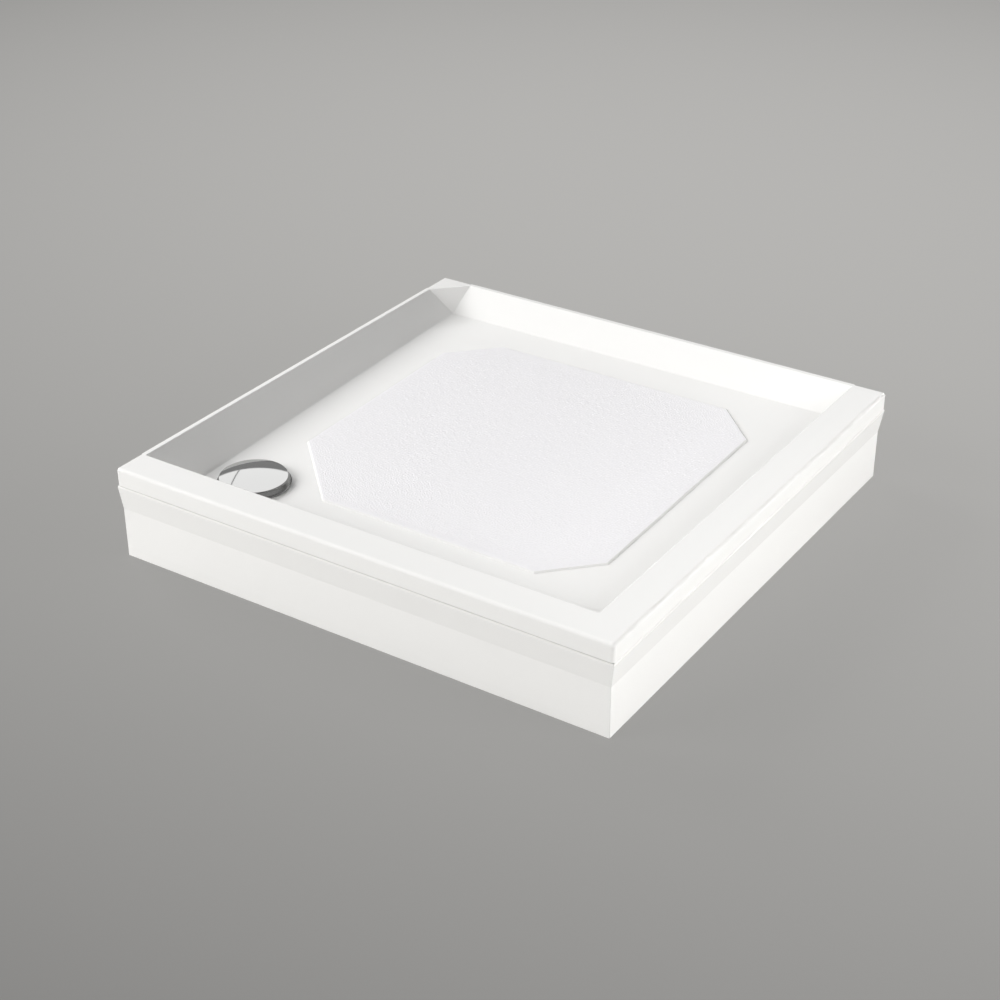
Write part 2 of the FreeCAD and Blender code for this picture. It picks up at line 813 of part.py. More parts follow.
def lip_seal():
    """The rubber ring in the insert's groove, its lip swept back towards the top."""
    outer = insert_bore - seal_bore_gap
    middle_z = ledge_top - seal_depth
    return at_waste([
        (groove_floor(), middle_z - seal_width / 2),
        (outer - seal_lip, middle_z - seal_width / 2),
        (outer, middle_z + seal_width / 2 - seal_lip),
        (outer, middle_z + seal_width / 2),
        (groove_floor(), middle_z + seal_width / 2),
    ])


def hair_sieve():
    """The basket in the insert's top, slotted round its side, with a boss that takes the cover's stem."""
    inner = sieve_radius - sieve_wall
    floor = sieve_bottom + sieve_wall
    bore = stem_radius + slide_clearance
    basket = at_waste([
        (0, sieve_bottom),
        (sieve_radius, sieve_bottom),
        (sieve_radius, dip_top),
        (sieve_rim_radius, dip_top),
        (sieve_rim_radius, sieve_top),
        (inner, sieve_top),
        (inner, floor),
        (sieve_boss_radius, floor),
        (sieve_boss_radius, boss_top),
        (bore, boss_top),
        (bore, floor + sieve_wall),
        (0, floor + sieve_wall),
    ])
    across = (-sieve_slot_width / 2, sieve_slot_width / 2)
    side_slot = block((inner - sieve_wall, sieve_radius + sieve_wall), across,
                      (floor + sieve_wall, floor + sieve_wall + sieve_slot_height))
    base_slot = block(sieve_base_slot, across, (sieve_bottom - sieve_wall, floor + sieve_wall))
    cuts = []
    for turn, _, _ in around(sieve_slot_count, 0, waste_x, waste_y):
        cuts.append(turned_at_waste(side_slot, turn))
        cuts.append(turned_at_waste(base_slot, turn))
    return basket.cut(cuts)


# ---- the cover -----------------------------------------------------------------------------------
def crown_arc(radius, edge_z, crown_z):
    """A shallow arc from the waste's axis out to the cover's edge."""
    sphere = (radius ** 2 + (crown_z - edge_z) ** 2) / (2 * (crown_z - edge_z))
    mid = radius / 2
    mid_z = crown_z - sphere + math.sqrt(sphere ** 2 - mid ** 2)
    return Part.Arc(on_axis(0, crown_z), on_axis(mid, mid_z), on_axis(radius, edge_z)).toShape()


def on_axis(radius, z):
    """A point in the upright half-plane through the waste's axis."""
    return Vector(waste_x + radius, waste_y, z)


def line(a, b):
    """A straight edge."""
    return Part.makeLine(a, b)


def waste_cover():
    """The chrome dome: a shallow crown, a rounded shoulder and a skirt that flares out."""
    shoulder = cover_radius - cover_edge_radius
    crown = cover_edge + cover_crown
    outer = [
        crown_arc(shoulder, cover_edge, crown),
        line(on_axis(shoulder, cover_edge), on_axis(cover_radius, cover_edge - cover_edge_radius)),
        line(on_axis(cover_radius, cover_edge - cover_edge_radius), on_axis(cover_skirt_radius, skirt_bottom)),
    ]
    inner_shoulder = shoulder - cover_wall / 2
    inner = [
        line(on_axis(cover_skirt_radius, skirt_bottom), on_axis(cover_skirt_radius - cover_wall, skirt_bottom)),
        line(on_axis(cover_skirt_radius - cover_wall, skirt_bottom), on_axis(inner_shoulder, cover_edge - cover_wall)),
        crown_arc(inner_shoulder, cover_edge - cover_wall, crown - cover_wall),
        line(on_axis(0, crown - cover_wall), on_axis(0, crown)),
    ]
    face = Part.Face(Part.Wire(Part.__sortEdges__(outer + inner)))
    return face.revolve(on_axis(0, 0), Vector(0, 0, 1), 360)


def under_cover():
    """The room under the dome, as far out as the carrier's feet reach."""
    reach = carrier_foot_radius + carrier_foot_size / 2
    shoulder = cover_radius - cover_edge_radius - cover_wall / 2
    low = boss_top + stem_shoulder_gap
    edge_z = cover_edge - cover_wall
    edges = [
        crown_arc(shoulder, edge_z, edge_z + cover_crown),
        line(on_axis(shoulder, edge_z), on_axis(shoulder, low)),
        line(on_axis(shoulder, low), on_axis(0, low)),
        line(on_axis(0, low), on_axis(0, edge_z + cover_crown)),
    ]
    face = Part.Face(Part.Wire(Part.__sortEdges__(edges)))
    room = face.revolve(on_axis(0, 0), Vector(0, 0, 1), 360)
    return room.common(rod(reach, low, rim_top, waste_x, waste_y))


def cover_carrier():
    """The plastic cross under the dome: a stem for the sieve's boss, ribs, and feet that stand on the flange."""
    hub_bottom = boss_top + stem_shoulder_gap
    rib_bottom = cover_edge - cover_wall - carrier_rib_depth
    reach = carrier_foot_radius + carrier_foot_size / 2
    pieces = [rod(sieve_boss_radius, hub_bottom, rim_top, waste_x, waste_y)]
    for turn, _, _ in around(carrier_rib_count, 0, waste_x, waste_y, 45.0):
        rib = block((0, reach), (-carrier_rib_width / 2, carrier_rib_width / 2), (rib_bottom, rim_top))
        foot = block((reach - carrier_foot_size, reach), (-carrier_foot_size / 2, carrier_foot_size / 2),
                     (flange_top, rim_top))
        pieces += [turned_at_waste(rib, turn), turned_at_waste(foot, turn)]
    cross = pieces[0].fuse(pieces[1:]).common(under_cover())
    stem = rod(stem_radius, hub_bottom - stem_length, hub_bottom, waste_x, waste_y)
    return cross.fuse(stem).removeSplitter()


# ---- every piece, by name ------------------------------------------------------------------------
def pieces():
    """All the tray's pieces. A list is a group of like pieces that share one name."""
    front_batten, side_batten = battens()
    clips, clip_screws = apron_clips()
    front_panel = front_apron()
    gasket_outer = flange_radius - gasket_margin
    named = {
        "tray_body": tray_body(),
        "resin_bed": resin_bed(),
        "baseboard": baseboard(),
        "front_batten": front_batten,
        "side_batten": side_batten,
        "front_apron": front_panel,
        "side_apron": turn_to_side(front_panel),
        "corner_joiner": corner_joiner(),
        "front_clips": clips,
        "side_clips": [turn_to_side(clip) for clip in clips],
        "clip_screws": clip_screws + [turn_to_side(screw) for screw in clip_screws],
        "wall_brackets": wall_brackets(),
        "flange_gasket": ring_at_waste(gasket_inner, gasket_outer, seat_top, flange_bottom),
        "trap_gasket": ring_at_waste(gasket_inner, gasket_outer, trap_top, seat_bottom),
        "waste_flange": waste_flange(),
        "flange_screws": [flange_screw(x, y) for _, x, y in flange_screw_places()],
        "trap_body": trap_body(),
        "outlet_washer": outlet_washer(),
        "outlet_nut": outlet_nut(),
        "dip_tube": dip_tube(),
        "lip_seal": lip_seal(),
        "hair_sieve": hair_sieve(),
        "cover_carrier": cover_carrier(),
        "waste_cover": waste_cover(),
    }
    socket_screws = []
    for place, (x, y) in leg_places().items():
        parts = leg(x, y)
        socket_screws += parts.pop("screws")
        for name, shape in parts.items():
            named[f"{name}_{place}"] = shape
    named["socket_screws"] = socket_screws
    return named


os.makedirs("parts", exist_ok=True)
for name, shape in pieces().items():
    if isinstance(shape, list):
        shape = Part.makeCompound(shape)
    shape.exportStep(f"parts/{name}.step")
    solids = shape.Solids
    print(f"{name}: {len(solids)} solid(s), {sum(s.Volume for s in solids) / 1000:.2f} cm3, valid {shape.isValid()}")
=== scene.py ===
# %% [markdown]
# # A shower tray with two aprons, seen from all sides
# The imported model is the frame: every solid piece of the tray is already in its place, in metres.
# This lesson gives each piece its finish. It also swaps the pieces that deserve finer surfaces than
# a solid's flat facets: the pebbled grip on the tray's floor, the chrome cover, the folded aprons,
# the threaded rods, their nuts and the feet.

# %% Load the frame
import json
import math
import bpy
import numpy as np
from mathutils import Matrix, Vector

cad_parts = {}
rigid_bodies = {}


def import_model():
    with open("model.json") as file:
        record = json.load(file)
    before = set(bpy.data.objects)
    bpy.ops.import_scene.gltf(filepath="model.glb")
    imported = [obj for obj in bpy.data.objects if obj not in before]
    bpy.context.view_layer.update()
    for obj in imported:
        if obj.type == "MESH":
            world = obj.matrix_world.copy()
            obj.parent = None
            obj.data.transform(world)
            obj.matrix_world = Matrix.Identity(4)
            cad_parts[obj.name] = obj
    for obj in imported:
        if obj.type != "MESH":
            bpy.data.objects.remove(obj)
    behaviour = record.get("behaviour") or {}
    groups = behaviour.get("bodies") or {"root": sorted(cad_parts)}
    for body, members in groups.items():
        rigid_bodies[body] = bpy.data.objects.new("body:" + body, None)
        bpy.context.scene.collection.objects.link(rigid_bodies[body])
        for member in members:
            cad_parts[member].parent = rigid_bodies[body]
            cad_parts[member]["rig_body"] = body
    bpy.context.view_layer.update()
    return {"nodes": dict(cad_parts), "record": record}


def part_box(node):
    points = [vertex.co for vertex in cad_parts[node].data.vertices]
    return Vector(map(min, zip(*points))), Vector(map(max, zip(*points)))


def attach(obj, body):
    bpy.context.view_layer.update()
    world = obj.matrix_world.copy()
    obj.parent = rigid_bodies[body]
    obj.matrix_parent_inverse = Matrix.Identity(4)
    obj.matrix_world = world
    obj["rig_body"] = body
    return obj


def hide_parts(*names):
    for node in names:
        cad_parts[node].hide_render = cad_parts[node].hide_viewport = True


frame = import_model()
nodes = frame["nodes"]

# %% [markdown]
# ## The camera
# The view was solved from the photograph's straight edges: where the camera stood, how it was
# turned and how long its lens was. A camera could be placed by eye, but then few edges would lie
# where they lie in the photograph. A lens in millimetres needs the sensor's width beside it.

# %% Camera
CAMERA_PLACE = (1.4889, -2.3030, 1.5989)
YAW, PITCH, ROLL = (math.radians(a) for a in (33.393, 29.767, -0.156))
SENSOR = 36.0
LENS = 1.9139 * SENSOR


def camera_axes(yaw, pitch, roll):
    """Right, up and backward as columns: turned by yaw, tilted down by pitch, rolled about the view."""
    flat = math.cos(pitch)
    forward = np.array([-math.sin(yaw) * flat, math.cos(yaw) * flat, -math.sin(pitch)])
    level = np.array([math.cos(yaw), math.sin(yaw), 0.0])
    up = np.cross(level, forward)
    right = math.cos(roll) * level + math.sin(roll) * up
    return np.column_stack([right, np.cross(right, forward), -forward])


def aim(obj, axes, place):
    """Stands a camera or lamp at a place, its three axes given as columns."""
    matrix = np.eye(4)
    matrix[:3, :3] = axes
    matrix[:3, 3] = place
    obj.matrix_world = Matrix(matrix)


camera = bpy.data.objects.new("camera", bpy.data.cameras.new("camera"))
bpy.context.scene.collection.objects.link(camera)
bpy.context.scene.camera = camera
aim(camera, camera_axes(YAW, PITCH, ROLL), CAMERA_PLACE)
camera.data.sensor_width = SENSOR
camera.data.lens = LENS
print("camera at", CAMERA_PLACE, "with a lens of", round(LENS, 1), "mm")

# %% [markdown]
# ## Helpers for finishes
# A finish is a Principled shader and the nodes that feed it. Nodes could be placed and wired one by
# one. Here one helper makes a node with its settings, values and links, and a few more stand for the
# kinds that come often, so a finish reads like a sentence.

# %% Node helpers
def add(tree, kind, inputs=None, **settings):
    """A new node with its settings, and values or links for its inputs."""
    node = tree.nodes.new(kind)
    for setting, value in settings.items():
        setattr(node, setting, value)
    for socket, value in (inputs or {}).items():
        if isinstance(value, bpy.types.NodeSocket):
            tree.links.new(value, node.inputs[socket])
        else:
            node.inputs[socket].default_value = value
    return node


def maths(tree, operation, *values):
    """The result of a Math node for one or two numbers or outputs."""
    return add(tree, "ShaderNodeMath", dict(enumerate(values)), operation=operation).outputs[0]


def mapped(tree, value, start, end, low=0.0, high=1.0, **settings):
    """A value's way from start to end as a way from low to high, held at both ends."""
    span = {"Value": value, "From Min": start, "From Max": end, "To Min": low, "To Max": high}
    return add(tree, "ShaderNodeMapRange", span, **settings).outputs["Result"]


def mixed(tree, factor, first, second, kind="RGBA"):
    """The mix of two colours, or of two numbers where kind is FLOAT."""
    ends = {"Factor": factor, "A": first, "B": second}
    return add(tree, "ShaderNodeMix", ends, data_type=kind).outputs["Result"]


def group(name, inputs, outputs):
    """A new shader node group with named inputs (kind, value) and outputs (kind), and what it is given."""
    made = bpy.data.node_groups.new(name, "ShaderNodeTree")
    for label, (kind, value) in inputs.items():
        socket = made.interface.new_socket(label, in_out="INPUT", socket_type=kind)
        if value is not None:
            socket.default_value = value
    for label, kind in outputs.items():
        made.interface.new_socket(label, in_out="OUTPUT", socket_type=kind)
    return made, add(made, "NodeGroupInput").outputs


print("node helpers:", ", ".join(helper.__name__ for helper in (add, maths, mapped, mixed, group)))

# %% [markdown]
# A value that is the same all over a piece is set on the shader's own socket. Only what changes over
# the surface comes from other nodes, and it reads the object's own coordinates, so a pattern stays on
# its piece when the piece moves.

# %% Material helpers
def finish(name, **sockets):
    """A Principled material with constants on its sockets; underscores stand for spaces."""
    made = bpy.data.materials.new(name)
    made.use_nodes = True
    shader = made.node_tree.nodes["Principled BSDF"]
    for socket, value in sockets.items():
        shader.inputs[socket.replace("_", " ")].default_value = value
    return made


def feed(material, socket, output):
    """Links an output to one of the material's Principled sockets."""
    tree = material.node_tree
    tree.links.new(output, tree.nodes["Principled BSDF"].inputs[socket])


def bumped(material, height, strength, distance):
    """Feeds a height to the material's normal through a Bump node."""
    relief = {"Height": height, "Strength": strength, "Distance": distance}
    feed(material, "Normal", add(material.node_tree, "ShaderNodeBump", relief).outputs["Normal"])


def place_of(material, scale=(1, 1, 1), turn=(0, 0, 0)):
    """The surface's place in object coordinates, stretched and turned by a Mapping node."""
    tree = material.node_tree
    place = add(tree, "ShaderNodeTexCoord").outputs["Object"]
    turned = {"Vector": place, "Scale": scale, "Rotation": turn}
    return add(tree, "ShaderNodeMapping", turned).outputs["Vector"]


def placed(material, made, **values):
    """A node group placed in a material with its own values; underscores stand for spaces."""
    inputs = {label.replace("_", " "): value for label, value in values.items()}
    return add(material.node_tree, "ShaderNodeGroup", inputs, node_tree=made)


print("material helpers:", ", ".join(helper.__name__ for helper in (finish, feed, bumped, place_of, placed)))

# %% [markdown]
# ## Effects that several finishes share
# Moulded plastic and acrylic are never perfectly flat: the sheet waves a little and its gloss varies.
# An image could carry that, but noise needs no picture and shows no repeat. The first group gives
# the wave as a height, and a roughness that wanders about a middle value.

# %% Moulded surface
FLOAT, VECTOR, COLOUR = "NodeSocketFloat", "NodeSocketVector", "NodeSocketColor"
GLOSS_FINENESS = 3
NOISE_LOW, NOISE_HIGH = 0.3, 0.7

moulded, given = group(
    "moulded_surface",
    {"Place": (VECTOR, None), "Wave scale": (FLOAT, 20.0), "Gloss scale": (FLOAT, 60.0),
     "Roughness": (FLOAT, 0.2), "Wander": (FLOAT, 0.05)},
    {"Height": FLOAT, "Roughness": FLOAT})
wave = add(moulded, "ShaderNodeTexNoise",
           {"Vector": given["Place"], "Scale": given["Wave scale"], "Detail": 2.0})
patch = add(moulded, "ShaderNodeTexNoise",
            {"Vector": given["Place"], "Scale": given["Gloss scale"], "Detail": 4.0})
smoothest = maths(moulded, "SUBTRACT", given["Roughness"], given["Wander"])
roughest = maths(moulded, "ADD", given["Roughness"], given["Wander"])
rough = mapped(moulded, patch.outputs["Fac"], NOISE_LOW, NOISE_HIGH, smoothest, roughest)
add(moulded, "NodeGroupOutput", {"Height": wave.outputs["Fac"], "Roughness": rough})


def mould(material, roughness, wander, wave_scale, strength, distance=0.001):
    """Gives a material the moulded surface's wave and wandering gloss."""
    node = placed(material, moulded, Place=place_of(material), Wave_scale=wave_scale,
                  Gloss_scale=GLOSS_FINENESS * wave_scale, Roughness=roughness, Wander=wander)
    feed(material, "Roughness", node.outputs["Roughness"])
    bumped(material, node.outputs["Height"], strength, distance)


print(moulded.name, "has", len(moulded.nodes), "nodes")

# %% [markdown]
# The second group mixes two colours in soft patches, for resin, zinc and timber. Its noise is cut
# between two levels about the middle: the nearer they lie, the harder the patches' borders.

# %% Patches of two colours
patches, given = group(
    "two_tone_patches",
    {"Place": (VECTOR, None), "Scale": (FLOAT, 30.0), "First": (COLOUR, (1, 1, 1, 1)),
     "Second": (COLOUR, (0, 0, 0, 1)), "Contrast": (FLOAT, 0.2)},
    {"Colour": COLOUR, "Mask": FLOAT})
cloud = add(patches, "ShaderNodeTexNoise", {"Vector": given["Place"], "Scale": given["Scale"], "Detail": 5.0})
mask = mapped(patches, cloud.outputs["Fac"], maths(patches, "SUBTRACT", 0.5, given["Contrast"]),
              maths(patches, "ADD", 0.5, given["Contrast"]))
colour = mixed(patches, mask, given["First"], given["Second"])
add(patches, "NodeGroupOutput", {"Colour": colour, "Mask": mask})


def two_tone(material, scale, first, second, contrast, stretch=(1, 1, 1)):
    """Gives a material a base colour in soft patches of two colours."""
    node = placed(material, patches, Place=place_of(material, stretch), Scale=scale, First=first,
                  Second=second, Contrast=contrast)
    feed(material, "Base Color", node.outputs["Colour"])
    return node


print(patches.name, "has", len(patches.nodes), "nodes")

# %% [markdown]
# ## The white acrylic
# Sanitary acrylic is a glossy, faintly warm white. The moulded sheet is backed with glass fibre and
# resin underneath. The backing could be a piece of its own, but it is only a skin, so the shell's
# finish changes to resin where its surface faces down.

# %% Acrylic
WHITE = (0.876, 0.870, 0.854, 1)
RESIN_PALE = (0.56, 0.53, 0.43, 1)
RESIN_DEEP = (0.43, 0.40, 0.31, 1)
RESIN_ROUGHNESS = 0.6
ACRYLIC_IOR = 1.49
FACES_DOWN = -0.05, -0.15


def upward(tree):
    """How far the surface faces up: the z of its normal in object coordinates, from -1 to 1."""
    normal = add(tree, "ShaderNodeTexCoord").outputs["Normal"]
    return add(tree, "ShaderNodeSeparateXYZ", {"Vector": normal}).outputs["Z"]


acrylic = finish("white_acrylic", IOR=ACRYLIC_IOR)
tree = acrylic.node_tree
surface = placed(acrylic, moulded, Place=place_of(acrylic), Wave_scale=7.0, Gloss_scale=40.0,
                 Roughness=0.15, Wander=0.03)
backing = placed(acrylic, patches, Place=place_of(acrylic), Scale=55.0, First=RESIN_PALE, Second=RESIN_DEEP,
                 Contrast=0.15)
under = mapped(tree, upward(tree), *FACES_DOWN)
feed(acrylic, "Base Color", mixed(tree, under, WHITE, backing.outputs["Colour"]))
feed(acrylic, "Roughness", mixed(tree, under, surface.outputs["Roughness"], RESIN_ROUGHNESS, "FLOAT"))
bumped(acrylic, surface.outputs["Height"], 0.05, 0.001)
print(acrylic.name, "turns to resin underneath")

# %% [markdown]
# The aprons are the same acrylic. The lamps reach into the joint under the tray's lip, which is dark
# in the photograph. Dimmer lamps would darken the whole front, so the returns that face up into the
# joint are painted grey instead: painted shade for the joint. The grip is a duller, cooler white than
# the tray round it.

# %% Aprons' and grip's acrylic
# The grey on the returns that face up into the joint is painted shade.
JOINT_PAINTED_SHADE = (0.66, 0.66, 0.65, 1)
GRIP_WHITE = (0.888, 0.877, 0.892, 1)
FACES_UP = 0.80, 0.90

apron_white = finish("apron_acrylic", IOR=ACRYLIC_IOR)
mould(apron_white, 0.17, 0.03, 5.0, 0.04)
tree = apron_white.node_tree
# Painted shade: grey where the apron faces up into the joint under the lip.
joint_shade_mask = mapped(tree, upward(tree), *FACES_UP)
feed(apron_white, "Base Color", mixed(tree, joint_shade_mask, WHITE, JOINT_PAINTED_SHADE))

grip_white = finish("grip_acrylic", Base_Color=GRIP_WHITE, IOR=ACRYLIC_IOR)
mould(grip_white, 0.34, 0.05, 300.0, 0.1, 0.0002)
print("apron white", WHITE[:3], "and grip white", GRIP_WHITE[:3])

# %% [markdown]
# ## Metals, plastics and rubber
# Chrome plate is a mirror with the faintest haze, and the zinc on screws and rods is duller and
# mottled. Moulded nylon and polypropylene are matt, with a fine orange-peel skin. They differ in
# numbers, not in kind, so a table with one row for each finish says it all.

# %% Metals and plastics
ONE_COLOUR = {
    # name: colour, metal, roughness, wander, wave scale, bump's strength and distance
    "chrome": ((0.56, 0.56, 0.555, 1), 1.0, 0.05, 0.012, 30.0, 0.02, 0.0005),
    # a darker copy of chrome: painted shade for the cover's skirt and the waste's flange
    "dark_chrome": ((0.215, 0.215, 0.212, 1), 1.0, 0.24, 0.04, 60.0, 0.04, 0.0005),
    "black_nylon": ((0.022, 0.022, 0.023, 1), 0.0, 0.46, 0.06, 500.0, 0.25, 0.0002),
    "white_plastic": ((0.74, 0.74, 0.715, 1), 0.0, 0.36, 0.05, 350.0, 0.18, 0.0002),
    "grey_plastic": ((0.17, 0.175, 0.18, 1), 0.0, 0.42, 0.05, 350.0, 0.2, 0.0002),
    "seal_rubber": ((0.018, 0.018, 0.018, 1), 0.0, 0.72, 0.08, 600.0, 0.3, 0.0002),
}
plain = {}
for name, (colour, metal, *skin) in ONE_COLOUR.items():
    plain[name] = finish(name, Base_Color=colour, Metallic=metal)
    mould(plain[name], *skin)

zinc = finish("zinc_steel", Metallic=1.0)
two_tone(zinc, 160.0, (0.62, 0.63, 0.65, 1), (0.45, 0.46, 0.47, 1), 0.3)
mould(zinc, 0.33, 0.09, 220.0, 0.12, 0.0003)
print("finishes of one colour:", ", ".join(plain))

# %% [markdown]
# ## Resin, board and timber
# The resin bed shows chopped glass strands, the board pressed flakes of wood, and the battens grain
# that runs along their length. Flakes are cells of a Voronoi pattern, each with a shade of its own.
# Grain is the patches' noise, stretched along the batten.

# %% Resin, board and timber
FLAKE_DARK, FLAKE_MIDDLE, FLAKE_PALE = (0.23, 0.145, 0.075, 1), (0.42, 0.29, 0.165, 1), (0.56, 0.41, 0.25, 1)
EARLY_WOOD, LATE_WOOD = (0.55, 0.385, 0.21, 1), (0.36, 0.225, 0.105, 1)
GRAIN_STRETCH = 15


def ramped(tree, factor, first, last, between=()):
    """A colour that runs from first to last, and through any (place, colour) between them."""
    node = add(tree, "ShaderNodeValToRGB", {"Fac": factor})
    stops = node.color_ramp.elements
    stops[0].color, stops[1].color = first, last
    for place, colour in between:
        stops.new(place).color = colour
    return node.outputs["Color"]


def grained(name, along):
    """Timber with its grain along one axis: the patches' noise stretched along it."""
    made = finish(name, Roughness=0.66)
    stretch = [1.0 / GRAIN_STRETCH if axis == along else 1.0 for axis in range(3)]
    node = two_tone(made, 260.0, EARLY_WOOD, LATE_WOOD, 0.22, stretch)
    bumped(made, node.outputs["Mask"], 0.3, 0.0003)
    return made


resin = finish("glass_fibre_resin")
two_tone(resin, 45.0, RESIN_PALE, RESIN_DEEP, 0.12)
mould(resin, 0.5, 0.12, 90.0, 0.8)

board = finish("particle_board", Roughness=0.82)
tree = board.node_tree
across_board = place_of(board, scale=(1, 1.6, 1), turn=(0, 0, 0.5))
flakes = add(tree, "ShaderNodeTexVoronoi", {"Vector": across_board, "Scale": 170.0})
shade = add(tree, "ShaderNodeSeparateColor", {"Color": flakes.outputs["Color"]})
feed(board, "Base Color", ramped(tree, shade.outputs["Red"], FLAKE_DARK, FLAKE_PALE, [(0.45, FLAKE_MIDDLE)]))
bumped(board, shade.outputs["Green"], 0.35, 0.0004)

timber_front, timber_side = grained("timber_front", 0), grained("timber_side", 1)
print("hidden finishes:", ", ".join(m.name for m in (resin, board, timber_front, timber_side)))

# %% [markdown]
# ## Give every solid its finish
# The record names a finish for each piece, so one table serves them all. Two pieces differ: the grain
# of the side batten runs the other way, and the waste's flange gets the darker chrome, painted shade
# for the shadow under its cover.

# %% Assign the finishes
by_slot = {
    "white_acrylic": acrylic, "apron_acrylic": apron_white, "resin": resin, "board": board,
    "batten": timber_front, "chrome": plain["chrome"], "zinc_steel": zinc,
    "black_plastic": plain["black_nylon"], "white_plastic": plain["white_plastic"],
    "grey_plastic": plain["grey_plastic"], "seal_rubber": plain["seal_rubber"],
}
exceptions = {"side_batten": timber_side, "waste_flange": plain["dark_chrome"]}
slot_of = {part["node"]: part["material_slot"] for part in frame["record"]["subparts"]}
for name, node in nodes.items():
    node.data.materials.clear()
    node.data.materials.append(exceptions.get(name, by_slot[slot_of[name]]))
print("slots:", ", ".join(sorted(by_slot)))

# %% [markdown]
# ## Surfaces from whole arrays
# Every new piece is a grid of points worked out at once with numpy. Faces could be added one by one
# with bmesh, but a grid's faces follow from its size alone, so one helper numbers them all. Another
# makes points and faces a piece that rides on a body of the frame.

# %% Surface helpers
def grid_faces(rows, columns, around=False, closed=False):
    """Quads between neighbours of a rows by columns grid. around joins the last column to the first,
    and closed joins the last row to the first."""
    index = np.arange(rows * columns).reshape(rows, columns)
    if around:
        index = np.hstack([index, index[:, :1]])
    if closed:
        index = np.vstack([index, index[:1]])
    corners = [index[:-1, :-1], index[:-1, 1:], index[1:, 1:], index[1:, :-1]]
    return np.stack(corners, axis=-1).reshape(-1, 4)


def mesh_of(name, points, faces):
    """A mesh from points and from faces of any number of corners, written with foreach_set."""
    points = np.ascontiguousarray(points, np.float32).reshape(-1, 3)
    corners = np.concatenate([np.asarray(f, np.int32) for f in faces])
    ends = np.cumsum([len(f) for f in faces])
    mesh = bpy.data.meshes.new(name)
    mesh.vertices.add(len(points))
    mesh.vertices.foreach_set("co", points.ravel())
    mesh.loops.add(len(corners))
    mesh.loops.foreach_set("vertex_index", corners)
    mesh.polygons.add(len(ends))
    mesh.polygons.foreach_set("loop_start", np.append(0, ends[:-1]).astype(np.int32))
    mesh.update(calc_edges=True)
    mesh.validate()
    return mesh


def piece(name, body, points, faces, material, replaces=(), sharp=30.0):
    """A named mesh piece, smooth except at edges that turn by more than sharp degrees."""
    mesh = mesh_of(name, points, faces)
    mesh.materials.append(material)
    mesh.shade_smooth()
    mesh.set_sharp_from_angle(angle=math.radians(sharp))
    obj = bpy.data.objects.new(name, mesh)
    bpy.context.scene.collection.objects.link(obj)
    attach(obj, body)
    if replaces:
        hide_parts(*replaces)
    print(f"{name}: {len(mesh.vertices)} points, {len(mesh.polygons)} faces")
    return obj


print("a grid of 3 by 4 points has", len(grid_faces(3, 4)), "faces, and",
      len(grid_faces(3, 4, around=True)), "where it closes round")

# %% [markdown]
# ## The pebbled grip
# The raised pad is moulded with small rounded pebbles, so that a wet foot grips it. A bump in the
# finish would leave the mesh flat, so here the surface itself rises and falls. Each pebble sits near
# the middle of a cell of a jittered grid, and the height falls from there to the valley between it
# and the next pebble.

# %% Pebbles
PEBBLE = 0.0042
CELLS = 256
JITTER = 0.36
SMALLEST = 0.75
DOME_REACH = 0.62


def pebbles(x, y, pitch, seed):
    """Height from 0 to 1: the distance to the next nearest pebble's middle less that to the nearest, over
    a share of the pitch, rounded with a smooth step and times the pebble's own size."""
    rng = np.random.default_rng(seed)
    jitter = rng.uniform(-JITTER, JITTER, (CELLS, CELLS, 2))
    size = rng.uniform(SMALLEST, 1.0, (CELLS, CELLS))
    column, row = np.floor(x / pitch).astype(int), np.floor(y / pitch).astype(int)
    found = []
    for i in (-1, 0, 1):
        for j in (-1, 0, 1):
            cell = (column + i) % CELLS, (row + j) % CELLS
            px = (column + i + 0.5 + jitter[cell][..., 0]) * pitch
            py = (row + j + 0.5 + jitter[cell][..., 1]) * pitch
            found.append(np.stack([np.hypot(x - px, y - py), size[cell]], axis=-1))
    found = np.stack(found)
    order = np.argsort(found[..., 0], axis=0)[:2]
    near, next_near = np.take_along_axis(found[..., 0], order, axis=0)
    rise = np.take_along_axis(found[..., 1], order[:1], axis=0)[0]
    dome = np.clip((next_near - near) / (DOME_REACH * pitch), 0, 1)
    return rise * dome * dome * (3 - 2 * dome)


print("pebbles every", 1000 * PEBBLE, "mm")

# %% [markdown]
# The pad has eight sides and a sloped edge, and the grip covers the flat inside that edge. Its grid
# could be cut to the outline afterwards. Rows that stretch from one side of the outline to the other
# need no cut, and their ends lie on the outline.

# %% The pad's top
FLOOR_BACK, BACK_CREASE = 0.123, 0.392
FALL = 0.010 / 0.692
PAD_RISE, PAD_EDGE = 0.0024, 0.0034
PAD = np.array([(-0.312, -0.150), (-0.172, -0.290), (0.221, -0.290), (0.301, -0.210),
                (0.301, 0.241), (0.221, 0.321), (-0.232, 0.321), (-0.312, 0.241)])
EDGE_GAP = 0.0002
GRIP_STEP = 0.0015
TINY = 1e-9


def floor_z(y):
    """Height of the basin's floor: it falls evenly from the back wall to the front."""
    return FLOOR_BACK - FALL * (BACK_CREASE - y)


def unit_left(steps):
    """Directions at a right angle to each step in the plan, on its left, one long."""
    return np.column_stack([-steps[:, 1], steps[:, 0]]) / np.linalg.norm(steps, axis=1)[:, None]


def inset_outline(outline, by):
    """A convex outline moved inwards: each corner is where its two sides meet after moving by that much."""
    before = outline - np.roll(outline, 1, axis=0)
    normals = [unit_left(before), unit_left(np.roll(before, -1, axis=0))]
    share = by / (1 + (normals[0] * normals[1]).sum(axis=1))
    return outline + share[:, None] * (normals[0] + normals[1])


